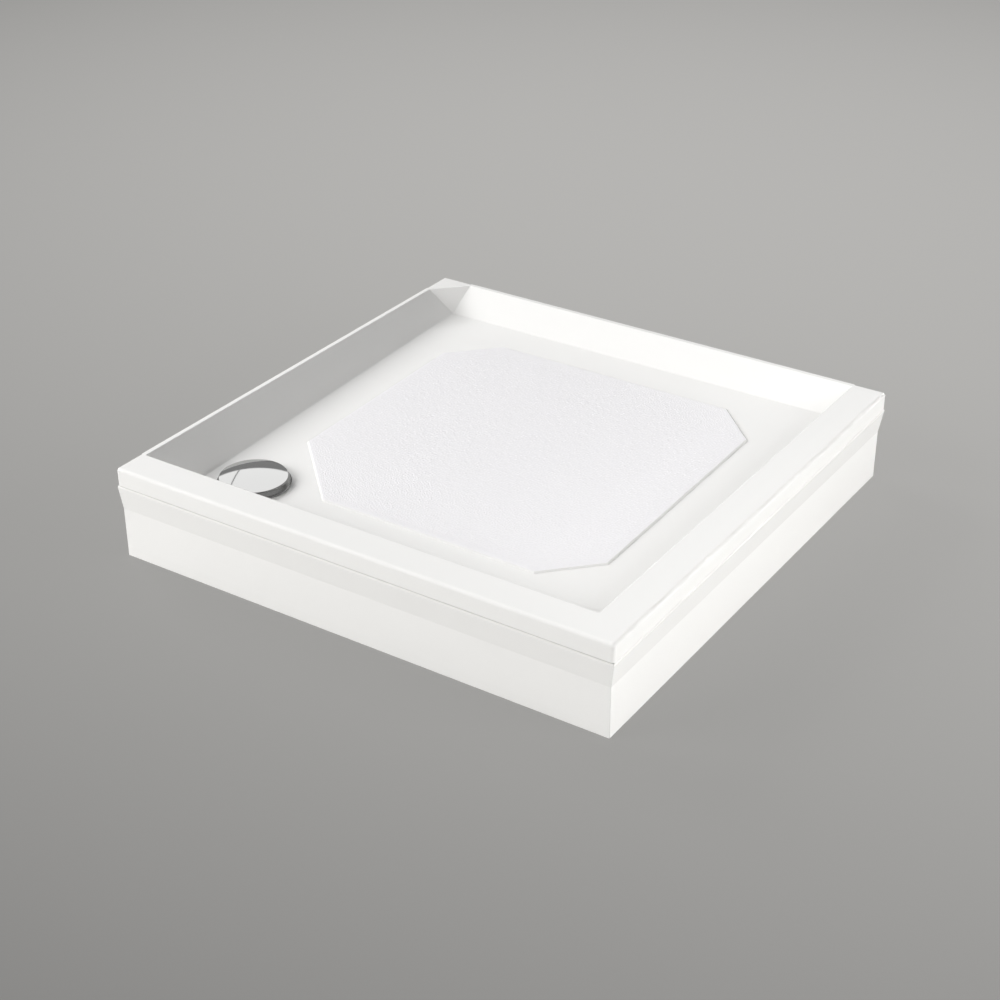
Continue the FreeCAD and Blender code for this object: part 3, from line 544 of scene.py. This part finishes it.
def span_at(outline, level):
    """Lowest and highest x of a convex outline at each level of y."""
    low, high = np.full(len(level), np.inf), np.full(len(level), -np.inf)
    for (x0, y0), (x1, y1) in zip(outline, np.roll(outline, -1, axis=0)):
        if abs(y1 - y0) < TINY:
            continue
        share = (level - y0) / (y1 - y0)
        inside = (share >= -TINY) & (share <= 1 + TINY)
        x = x0 + share * (x1 - x0)
        low[inside], high[inside] = np.minimum(low, x)[inside], np.maximum(high, x)[inside]
    return low, high


top = inset_outline(PAD, PAD_EDGE + EDGE_GAP)
stops = np.unique(top[:, 1].round(7))
levels = np.concatenate([np.linspace(a, b, max(2, int(round((b - a) / GRIP_STEP)) + 1))[:-1]
                         for a, b in zip(stops, stops[1:])] + [stops[-1:]])
left, right = span_at(top, levels)
columns = int((right - left).max() / GRIP_STEP)
print(len(levels), "rows of", columns, "points")

# %% [markdown]
# The pebbles flatten out before the pad's edge. The grid is cut into three bands, because a mesh of
# more than 200,000 triangles is unwieldy, and each band is closed with a short wall and a bottom that
# lie inside the shell.

# %% Grip in three bands
GRIP_BANDS = ["front", "middle", "back"]
PEBBLE_RISE = 0.0007
ABOVE_PAD = 0.00004
FADE = 0.004
SUNK = 0.0005

grid_x = left[:, None] + (right - left)[:, None] * np.linspace(0, 1, columns)
grid_y = np.repeat(levels[:, None], columns, axis=1)
inward = unit_left(np.roll(top, -1, axis=0) - top)
to_edge = np.min([(grid_x - p[0]) * n[0] + (grid_y - p[1]) * n[1] for p, n in zip(top, inward)], axis=0)
relief = PEBBLE_RISE * np.clip(to_edge / FADE, 0, 1) * pebbles(grid_x, grid_y, PEBBLE, seed=7)
grip = np.stack([grid_x, grid_y, floor_z(grid_y) + PAD_RISE + ABOVE_PAD + relief], axis=-1)
print("pebbles rise by up to", round(1000 * relief.max(), 2), "mm")
bands = np.linspace(0, len(levels) - 1, len(GRIP_BANDS) + 1).astype(int)
for band, first_row, last_row in zip(GRIP_BANDS, bands, bands[1:]):
    points = grip[first_row:last_row + 1].reshape(-1, 3)
    rows = last_row + 1 - first_row
    index = np.arange(rows * columns).reshape(rows, columns)
    border = np.concatenate([index[0], index[1:, -1], index[-1, -2::-1], index[-2:0:-1, 0]])
    skirt = len(points) + np.arange(len(border))
    walls = np.column_stack([skirt, np.roll(skirt, -1), np.roll(border, -1), border])
    faces = grid_faces(rows, columns).tolist() + walls.tolist() + [skirt[::-1].tolist()]
    piece(f"grip_pebbles_{band}", "tray", np.vstack([points, points[border] - [0, 0, SUNK]]), faces,
          grip_white)

# %% [markdown]
# ## Turned shapes
# A turned shape is an outline carried round an axis. Spin and the Screw modifier do that by hand, and
# leave doubled points on the axis to be merged. Here each row on the axis becomes one point at once,
# so the pole is closed.

# %% Turning helpers
def weld_poles(points, faces):
    """Rows whose points all coincide become one point, and the quads on them become triangles."""
    rows, steps = points.shape[:2]
    pole = np.ptp(points, axis=1).max(axis=1) < TINY
    keep = np.ones((rows, steps), bool)
    keep[pole, 1:] = False
    first = np.where(pole[:, None], 0, np.arange(steps)[None, :])
    flat = np.arange(rows)[:, None] * steps + first
    number = np.cumsum(keep.ravel()) - 1
    faces = number[flat.ravel()[faces]]
    uneven = [tuple(dict.fromkeys(f)) for f in faces.tolist()]
    return points.reshape(-1, 3)[keep.ravel()], [f for f in uneven if len(f) > 2]


def tube_points(radius, z, turn, centre):
    """Points at radius r, turn t and height z about an upright axis: x = cx + r cos t, y = cy + r sin t."""
    x = centre[0] + radius * np.cos(turn)
    y = centre[1] + radius * np.sin(turn)
    return np.stack([x, y, np.broadcast_to(z, x.shape)], axis=-1)


def lathe(profile, centre, steps):
    """A closed (radius, height) outline turned round an upright axis. The outline runs so that its
    outside is on its right, and its points on the axis become poles."""
    profile = np.asarray(profile, float)
    turn = np.linspace(0, 2 * math.pi, steps, endpoint=False)
    points = tube_points(profile[:, :1], profile[:, 1:], turn, centre)
    return weld_poles(points, grid_faces(len(profile), steps, around=True))


def arc(centre, radius, start, end, steps):
    """Points on a circle in the (radius, height) plane, from one angle to another, in degrees."""
    turn = np.radians(np.linspace(start, end, steps))
    return np.column_stack([centre[0] + radius * np.cos(turn), centre[1] + radius * np.sin(turn)])


ball, ball_faces = lathe(arc((0, 0), 1, -90, 90, 9), (0, 0), 16)
print("a turned half circle is a ball of", len(ball), "points and", len(ball_faces), "faces")

# %% [markdown]
# ## The chrome cover
# The cover is a shallow dome with a rolled edge and a skirt that flares to the flange. The packed
# solid's facets would break its mirror into flats, so it is turned again from a fine outline: up the
# outside, round the roll and the hem, and back up the inside. The skirt lies in the shadow of the
# dome and gets the darker chrome, which paints that shade.

# %% Cover's outline
WASTE = (-0.300, -0.300)
COVER_RISE = 0.005
COVER_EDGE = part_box("waste_cover")[1].z - COVER_RISE
COVER_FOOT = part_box("waste_cover")[0].z
COVER_WALL = 0.0015
SHOULDER = 0.0543
SHOULDER_IN = SHOULDER - 0.0009
ROLL = 0.0012
SKIRT_FOOT = 0.0594


def crown(reach, edge, top, steps):
    """A shallow arc from the axis out: z = top - R + sqrt(R^2 - r^2), with R from the reach and the rise."""
    rise = top - edge
    sphere = (reach ** 2 + rise ** 2) / (2 * rise)
    radius = reach * np.sin(np.linspace(0, math.pi / 2, steps))
    return np.column_stack([radius, top - sphere + np.sqrt(sphere ** 2 - radius ** 2)])


hem = COVER_WALL / 2
# The dome, the rolled edge, the skirt, the hem, and back up the skirt's and the dome's inside.
cover_outline = np.vstack([
    crown(SHOULDER, COVER_EDGE, COVER_EDGE + COVER_RISE, 30),
    arc((SHOULDER, COVER_EDGE - ROLL), ROLL, 80, 4, 8),
    np.linspace([SHOULDER + ROLL, COVER_EDGE - 1.6 * ROLL], [SKIRT_FOOT - 0.0002, COVER_FOOT + 0.0004], 6),
    arc((SKIRT_FOOT - hem, COVER_FOOT + hem), hem, -5, -175, 9),
    np.linspace([SKIRT_FOOT - COVER_WALL, COVER_FOOT + 0.001], [SHOULDER - 0.0006, COVER_EDGE - 0.0019], 5),
    crown(SHOULDER_IN, COVER_EDGE - COVER_WALL, COVER_EDGE + COVER_RISE - COVER_WALL, 24)[::-1],
])
print("cover's outline of", len(cover_outline), "points")

# %% Chrome cover
cover_points, cover_faces = lathe(cover_outline[::-1], WASTE, 192)
cover = piece("chrome_cover", "cover", cover_points, cover_faces, plain["chrome"], replaces=["waste_cover"],
              sharp=40)
# The skirt's faces get the darker chrome: painted shade.
cover.data.materials.append(plain["dark_chrome"])
middles = np.array([cover_points[list(f)].mean(axis=0) for f in cover_faces])
on_skirt = np.hypot(middles[:, 0] - WASTE[0], middles[:, 1] - WASTE[1]) > SHOULDER + 0.7 * ROLL
cover.data.polygons.foreach_set("material_index", on_skirt.astype(np.int32))
print("skirt faces:", int(on_skirt.sum()))

# %% [markdown]
# ## The aprons
# An apron is one folded sheet: a return that slips in under the lip, a bead, a band that leans in, a
# straight face, and a foot that turns back. The solid's edges could be bevelled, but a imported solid
# is loose triangles, and a bevel would tear it. So the section is drawn again, as a path and its
# parallel, with an arc at each fold. The widest arc is the bead, which catches the light under the lip.

# %% Apron section
LIP_DROP, JOINT, JOGGLE, BAND_DROP = 0.030, 0.001, 0.0008, 0.0465
LIP_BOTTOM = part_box("tray_body")[1].z - LIP_DROP
APRON_TOP = LIP_BOTTOM - JOINT
BEAD_TOP = APRON_TOP - JOGGLE
BAND_BOTTOM = LIP_BOTTOM - BAND_DROP
RETURN, STEP_IN, STEP_OUT, PROUD, INSET, FOOT_TURN = 0.021, 0.0072, 0.0058, 0.0002, 0.008, 0.020
SHEET = 0.0035
SUPPORT = 0.0003
# Each point is how far it stands out from the tray's side, and how high.
OUTER_PATH = np.array([(-RETURN, APRON_TOP), (-STEP_IN, APRON_TOP), (-STEP_OUT, BEAD_TOP), (PROUD, BEAD_TOP),
                       (-INSET, BAND_BOTTOM), (-INSET, 0.0), (-INSET - FOOT_TURN, 0.0)])
FOLDS_OUT = [0.0006, 0.0010, 0.0010, 0.0030, 0.0040, 0.0008, 0.0006]
FOLDS_IN = [0.0006, 0.0010, 0.0010, 0.0006, 0.0040, 0.0005, 0.0006]


def sheet_outline(path, thickness):
    """A path and its parallel to the right of it, mitred at each fold, as one closed outline."""
    rights = -unit_left(np.diff(path, axis=0))
    before, after = np.vstack([rights[:1], rights]), np.vstack([rights, rights[-1:]])
    share = thickness / (1 + (before * after).sum(axis=1))
    return np.vstack([path, (path + share[:, None] * (before + after))[::-1]])


def rounded(outline, radii, steps=7):
    """A closed outline with an arc at each corner: the arc starts r / tan(half the corner's angle) from it,
    and its points lie at r round a centre on the corner's bisector. A point on each straight, just
    beyond the arc, keeps the straight's shading flat."""
    back = np.roll(outline, 1, axis=0) - outline
    ahead = np.roll(outline, -1, axis=0) - outline
    back, ahead = (v / np.linalg.norm(v, axis=1)[:, None] for v in (back, ahead))
    half_angle = np.arccos(np.clip((back * ahead).sum(axis=1), -1, 1)) / 2
    bisector = (back + ahead) / np.linalg.norm(back + ahead, axis=1)[:, None]
    centre = outline + bisector * (radii / np.sin(half_angle))[:, None]
    start = outline + back * (radii / np.tan(half_angle))[:, None] - centre
    end = outline + ahead * (radii / np.tan(half_angle))[:, None] - centre
    share = np.linspace(0, 1, steps)[None, :, None]
    sweep = (math.pi - 2 * half_angle)[:, None, None]
    turned = np.sin((1 - share) * sweep) * start[:, None] + np.sin(share * sweep) * end[:, None]
    folds = centre[:, None] + turned / np.sin(sweep)
    leads = (centre + start + SUPPORT * back)[:, None], (centre + end + SUPPORT * ahead)[:, None]
    return np.concatenate([leads[0], folds, leads[1]], axis=1).reshape(-1, 2)


section = rounded(sheet_outline(OUTER_PATH, SHEET), np.array(FOLDS_OUT + FOLDS_IN[::-1]))
print("section of", len(section), "points")

# %% [markdown]
# The section is carried along the front as far as the mitre, a plane at 45 degrees. The side apron is
# the front one mirrored in that plane, with its faces turned over so that they still look outwards.

# %% Aprons
TRAY_HALF = 0.45
ALONG = 61
MITRE_GAP = 0.0003

mitre_end = TRAY_HALF + section[:, 0] - MITRE_GAP / math.sqrt(2)
run = -TRAY_HALF + (mitre_end[:, None] + TRAY_HALF) * np.linspace(0, 1, ALONG)
front = np.stack([run, np.repeat(-TRAY_HALF - section[:, :1], ALONG, axis=1),
                  np.repeat(section[:, 1:], ALONG, axis=1)], axis=-1)
side = front[..., [1, 0, 2]] * [-1, -1, 1]
index = np.arange(front[..., 0].size).reshape(len(section), ALONG)
side_faces = grid_faces(len(section), ALONG, closed=True).tolist()
side_faces += [index[:, 0].tolist(), index[::-1, -1].tolist()]
front_faces = [face[::-1] for face in side_faces]
for name, points, faces in [("front_apron", front, front_faces), ("side_apron", side, side_faces)]:
    piece(f"folded_{name}", nodes[name]["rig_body"], points, faces, apron_white, replaces=[name],
          sharp=25)

# %% [markdown]
# ## Threaded rods, nuts and feet
# A leg is an M12 rod that turns in its socket, held by a nut. A thread could be swept along a helix,
# but then its inside is full of crossing faces. Here it is one tube whose radius rises and falls with
# height, and the same wave is shifted once round for each turn.

# %% Thread
RUN_OUT = 0.0012
FLANK, FLAT = 2.6, 0.15


def thread(radius, depth, pitch, low, high, steps=28, per_turn=8):
    """Radius at turn t and height z: radius less depth times a triangle wave of z / pitch - t / 2 pi,
    flattened at crest and root, and running out to the plain root at the top end."""
    rows = int((high - low) / pitch * per_turn) + 1
    z = np.linspace(low, high, rows)[:, None]
    turn = np.linspace(0, 2 * math.pi, steps, endpoint=False)[None, :]
    phase = (z / pitch - turn / (2 * math.pi)) % 1.0
    wave = np.clip(FLANK * np.abs(phase - 0.5) - FLAT, 0, 1)
    taper = np.clip((high - z) / RUN_OUT, 0, 1)
    return radius - depth * np.maximum(wave, 1 - taper), z, turn


print("a thread of 10 mm has", len(thread(0.006, 0.001, 0.00175, 0, 0.010)[1]), "rows")

# %% [markdown]
# The head of the rod and its lock nut are six-sided. A cylinder of six sides has no chamfers, so this
# is a tube as well, whose radius follows a hexagon and is cut by a cone at each end.

# %% Six-sided bar
def hexagonal(across_flats, low, high, chamfer, centre, steps=72, bore=None):
    """A chamfered six-sided bar: its radius is a hexagon's, a / cos, or where smaller a cone's at an end."""
    turn = np.linspace(0, 2 * math.pi, steps, endpoint=False)[None, :]
    flat = across_flats / 2 / np.cos((turn + math.pi / 6) % (math.pi / 3) - math.pi / 6)
    corner = across_flats / math.sqrt(3)
    z = np.array([low, low + chamfer / 2, low + chamfer, high - chamfer, high - chamfer / 2, high])[:, None]
    from_end = np.minimum(z - low, high - z)
    cone = corner - (chamfer - np.minimum(from_end, chamfer)) * math.sqrt(3)
    outer = tube_points(np.minimum(flat, cone), z, turn, centre)
    if bore is None:
        return outer
    inner = tube_points(np.full((2, steps), bore), np.array([[high], [low]]), turn, centre)
    return np.concatenate([outer, inner])


def capped(tube):
    """A tube's points and faces, each end closed with a pole."""
    ends = [np.broadcast_to(ring.mean(axis=0), (1, *ring.shape)) for ring in (tube[0], tube[-1])]
    tube = np.concatenate([ends[0], tube, ends[1]])
    return weld_poles(tube, grid_faces(*tube.shape[:2], around=True))


def joined(*parts):
    """Several (points, faces) surfaces as one."""
    points, faces, first = [], [], 0
    for some, those in parts:
        points.append(some)
        faces += [[first + i for i in f] for f in those]
        first += len(some)
    return np.vstack(points), faces


def standing(node):
    """Where an upright piece stands: its axis in the plan, its lowest and its highest z."""
    low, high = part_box(node)
    return ((low.x + high.x) / 2, (low.y + high.y) / 2), low.z, high.z


LEGS = [name[len("leg_rod_"):] for name in sorted(nodes) if name.startswith("leg_rod_")]
print("legs:", ", ".join(LEGS))

# %% Threaded rods
PITCH = 0.00175
ROD = 0.006
THREAD = ROD - 0.00002
THREAD_DEPTH = 0.00095
SHANK, SHANK_END = ROD - 0.0001, ROD - 0.0006
SHANK_FOOT, SHANK_SHOULDER = 0.0002, 0.0008
HEX_LOW, HEX_HIGH, HEX_WIDTH, HEX_CHAMFER = 0.0161, 0.021, 0.0129, 0.0009
OVERLAP = 0.0005

for leg in LEGS:
    centre, low, high = standing(f"leg_rod_{leg}")
    radius, z, turn = thread(THREAD, THREAD_DEPTH, PITCH, HEX_HIGH - OVERLAP, high)
    shank = lathe([(0, low + SHANK_FOOT), (SHANK_END, low + SHANK_FOOT), (SHANK, low + SHANK_SHOULDER),
                   (SHANK, HEX_LOW + OVERLAP), (0, HEX_LOW + OVERLAP)], centre, 32)
    nut = capped(hexagonal(HEX_WIDTH, HEX_LOW, HEX_HIGH, HEX_CHAMFER, centre))
    points, faces = joined(capped(tube_points(radius, z, turn, centre)), shank, nut)
    piece(f"threaded_rod_{leg}", f"rod_{leg}", points, faces, zinc, replaces=[f"leg_rod_{leg}"],
          sharp=35)

# %% [markdown]
# The lock nut is the same six-sided shape with a bore through it, so its last row joins its first.

# %% Lock nuts
NUT_WIDTH, NUT_CHAMFER, NUT_BORE = 0.018, 0.0012, 0.0061

for leg in LEGS:
    centre, low, high = standing(f"lock_nut_{leg}")
    ring = hexagonal(NUT_WIDTH, low, high, NUT_CHAMFER, centre, bore=NUT_BORE)
    faces = grid_faces(*ring.shape[:2], around=True, closed=True)
    piece(f"hex_nut_{leg}", "tray", ring, faces, zinc, replaces=[f"lock_nut_{leg}"],
          sharp=35)

# %% [markdown]
# A foot is a moulded cone with rounded edges, a socket for the rod, and a rib round its base that
# spreads the load. It is turned like the cover, from an outline that begins at the middle of its
# sole and ends at the bottom of the socket.

# %% Feet
foot_outline = np.vstack([
    [(0, 0.0), (0.0238, 0.0)],
    arc((0.0238, 0.0012), 0.0012, -80, 0, 5),
    arc((0.0236, 0.0030), 0.0014, 0, 80, 5),
    arc((0.0212, 0.0056), 0.0013, -100, -140, 4),
    [(0.0125, 0.0130)],
    arc((0.0082, 0.0142), 0.0018, 35, 85, 4),
    [(0.0068, 0.0160), (0.0062, 0.0157), (0.0062, 0.0061), (0, 0.0061)],
])
for leg in LEGS:
    centre, low, high = standing(f"foot_pad_{leg}")
    points, faces = lathe(foot_outline, centre, 64)
    piece(f"moulded_foot_{leg}", f"foot_{leg}", points, faces, plain["black_nylon"],
          replaces=[f"foot_pad_{leg}"], sharp=40)

# %% [markdown]
# ## The studio
# A plain grey floor sweeps up into a wall all round. A lit grey floor would take the lamps' uneven
# pools, so the camera and mirrors see most of its grey at a set level: a paler pool behind the tray,
# darker outwards. The share that is lit by the lamps grows to the whole under the tray, so the tray
# keeps its shadow.

# %% Floor and backdrop
FLOOR_REACH = 5.0
SWEEP = 1.4
GREY_POOL = (0.4827, 0.4762, 0.4635, 1)
GREY_EDGE = (0.220, 0.217, 0.211, 1)
POOL_CENTRE = (-0.17, 1.77)
POOL_REACH = (3.54, 3.11)
SHOWN_SHARE = 0.90
UNDER_TRAY, BESIDE_TRAY = 0.28, 0.47


def dotted(tree, first, second):
    """The dot product of two vectors."""
    return add(tree, "ShaderNodeVectorMath", {0: first, 1: second}, operation="DOT_PRODUCT").outputs["Value"]


def choose(tree, share, first, second):
    """The first shader where the share is 0, the second where it is 1, and a mix between."""
    return add(tree, "ShaderNodeMixShader", {0: share, 1: first, 2: second}).outputs[0]


backdrop = bpy.data.materials.new("backdrop")
backdrop.use_nodes = True
tree = backdrop.node_tree
tree.nodes.clear()
place = add(tree, "ShaderNodeTexCoord").outputs["Object"]
scale = (1 / POOL_REACH[0], 1 / POOL_REACH[1], 0)
shift = (-POOL_CENTRE[0] / POOL_REACH[0], -POOL_CENTRE[1] / POOL_REACH[1], 0)
pool = add(tree, "ShaderNodeMapping", {"Vector": place, "Location": shift, "Scale": scale}).outputs["Vector"]
pool_colour = ramped(tree, dotted(tree, pool, pool), GREY_POOL, GREY_EDGE)
plan = add(tree, "ShaderNodeSeparateXYZ", {"Vector": place}).outputs
sideways, deep = (maths(tree, "ABSOLUTE", plan[axis]) for axis in "XY")
share = mapped(tree, maths(tree, "MAXIMUM", sideways, deep), UNDER_TRAY, BESIDE_TRAY, 0.0, SHOWN_SHARE,
               interpolation_type="SMOOTHSTEP")
lit = add(tree, "ShaderNodeBsdfDiffuse", {"Color": GREY_POOL}).outputs[0]
shown = add(tree, "ShaderNodeEmission", {"Color": pool_colour, "Strength": 1.0}).outputs[0]
ray = add(tree, "ShaderNodeLightPath").outputs
seen = maths(tree, "MAXIMUM", maths(tree, "MAXIMUM", ray["Is Camera Ray"], ray["Is Glossy Ray"]),
             ray["Is Transmission Ray"])
by_ray = choose(tree, seen, lit, choose(tree, share, lit, shown))
add(tree, "ShaderNodeOutputMaterial", {"Surface": by_ray})

sweep = np.vstack([[(0, 0), (FLOOR_REACH * 0.5, 0)], arc((FLOOR_REACH, SWEEP), SWEEP, -90, 0, 24)])
floor = bpy.data.objects.new("studio_floor", mesh_of("studio_floor", *lathe(sweep, (0, 0), 128)))
floor.data.materials.append(backdrop)
floor.data.shade_smooth()
bpy.context.scene.collection.objects.link(floor)
print("floor of", len(floor.data.polygons), "faces")

# %% [markdown]
# ## The lamps
# Soft rectangles light the tray: a low key lamp in front of it on the left, weaker ones on the left,
# the right and behind, a slim one over the right rim, and a low strip for each apron. One large lamp
# would be simpler, but each face of the tray has its own tone in the photograph. Lamps hide from the
# camera and from mirrors. The strips have a narrow beam, so that they leave the floor alone.

# %% Lamps
MIDDLE = (0, 0, 0.1)
STRIP = (2.4, 0.12)
STRIP_HEIGHT = 0.085


def lamp(name, place, target, size, power, spread=180.0):
    """A rectangular soft lamp that looks at a target. Its light keeps to a beam of spread degrees."""
    data = bpy.data.lights.new(name, "AREA")
    data.shape = "RECTANGLE"
    data.size, data.size_y = size
    data.energy = power
    data.spread = math.radians(spread)
    obj = bpy.data.objects.new(name, data)
    bpy.context.scene.collection.objects.link(obj)
    back = np.array(place, float) - np.array(target, float)
    back /= np.linalg.norm(back)
    across = np.cross([0, 0, 1.0], back)
    across /= np.linalg.norm(across)
    aim(obj, np.column_stack([across, np.cross(back, across), back]), place)
    obj.visible_camera = False
    obj.visible_glossy = False


def from_angles(azimuth, elevation, distance):
    """A place seen from the tray's middle at an azimuth from +X and an elevation, both in degrees."""
    a, e = math.radians(azimuth), math.radians(elevation)
    direction = np.array([math.cos(a) * math.cos(e), math.sin(a) * math.cos(e), math.sin(e)])
    return tuple(direction * distance + MIDDLE)


lamp("key", from_angles(-135, 25, 7.0), MIDDLE, (4.0, 4.0), 494)
lamp("left_fill", from_angles(170, 30, 7.0), MIDDLE, (2.8, 2.8), 318)
lamp("right_fill", from_angles(0, 25, 2.5), MIDDLE, (1.0, 1.0), 23.4)
lamp("back_fill", from_angles(129, 53, 3.2), MIDDLE, (1.2, 1.2), 3.4)
lamp("right_rim", (1.1, 0, 0.9), (0.3, 0, 0.1), (1.8, 0.3), 2.75)
lamp("low_right", (1.5, 0, STRIP_HEIGHT), (0.45, 0, STRIP_HEIGHT), STRIP, 1.35, spread=40)
lamp("low_front", (0, -1.5, STRIP_HEIGHT), (0, -0.45, STRIP_HEIGHT), STRIP, 0.35, spread=40)
print("lamps:", ", ".join(light.name for light in bpy.data.lights))

# %% [markdown]
# ## What chrome and gloss mirror
# Chrome shows little but its surroundings, so they are drawn in the world for mirrors alone: a dark
# wall, and above it the studio's bright roof. The roof is two round panels, a wide one overhead and
# a small one at the back left, and a thin dark seam crosses it, which the cover shows as a line.
# Panels of mesh could do the same, but they would throw light and cast shadows. The roof is brightest
# towards the back left, which the photograph's view mirrors, and dimmer elsewhere, so that fewer
# white faces wash out in other views.

# %% World
DARK_WALL, SIDE_LEVEL, ROOF_LEVEL = 0.23, 0.75, 1.35
BACK_LEFT = (-0.669, 0.743, 0.0)
BRIGHTENS_FROM, BRIGHTENS_TO = 0.30, 0.50
ROOF_PANELS = [((-0.4952, 0.5374, 0.6827), 0.931), ((0.2873, 0.0, 0.9578), 0.268)]
PANEL_SOFTNESS = 0.006
SEAM_ACROSS, SEAM_PLACE, SEAM_WIDTH = (0.8626, 0.4766, 0.1696), -0.2045, 0.006

world = bpy.data.worlds.new("studio")
bpy.context.scene.world = world
world.use_nodes = True
tree = world.node_tree
tree.nodes.clear()
direction = add(tree, "ShaderNodeTexCoord").outputs["Generated"]
roof = 0.0
for axis, edge in ROOF_PANELS:
    panel = mapped(tree, dotted(tree, direction, axis), edge, edge + PANEL_SOFTNESS, DARK_WALL)
    roof = maths(tree, "MAXIMUM", panel, roof)
off_seam = maths(tree, "ABSOLUTE", maths(tree, "SUBTRACT", dotted(tree, direction, SEAM_ACROSS), SEAM_PLACE))
seam = mapped(tree, off_seam, 0.3 * SEAM_WIDTH, SEAM_WIDTH, DARK_WALL)
level = mapped(tree, dotted(tree, direction, BACK_LEFT), BRIGHTENS_FROM, BRIGHTENS_TO, SIDE_LEVEL, ROOF_LEVEL)
strength = maths(tree, "MULTIPLY", maths(tree, "MINIMUM", roof, seam), level)
mirrored = add(tree, "ShaderNodeBackground", {"Color": (1, 1, 1, 1), "Strength": strength}).outputs[0]
unlit = add(tree, "ShaderNodeBackground", {"Color": (0, 0, 0, 1)}).outputs[0]
grey = add(tree, "ShaderNodeBackground", {"Color": GREY_EDGE, "Strength": 1.0}).outputs[0]
ray = add(tree, "ShaderNodeLightPath").outputs
not_camera = choose(tree, ray["Is Glossy Ray"], unlit, mirrored)
add(tree, "ShaderNodeOutputWorld", {"Surface": choose(tree, ray["Is Camera Ray"], not_camera, grey)})
bpy.context.scene.view_settings.view_transform = "Standard"
print("world of", len(tree.nodes), "nodes")
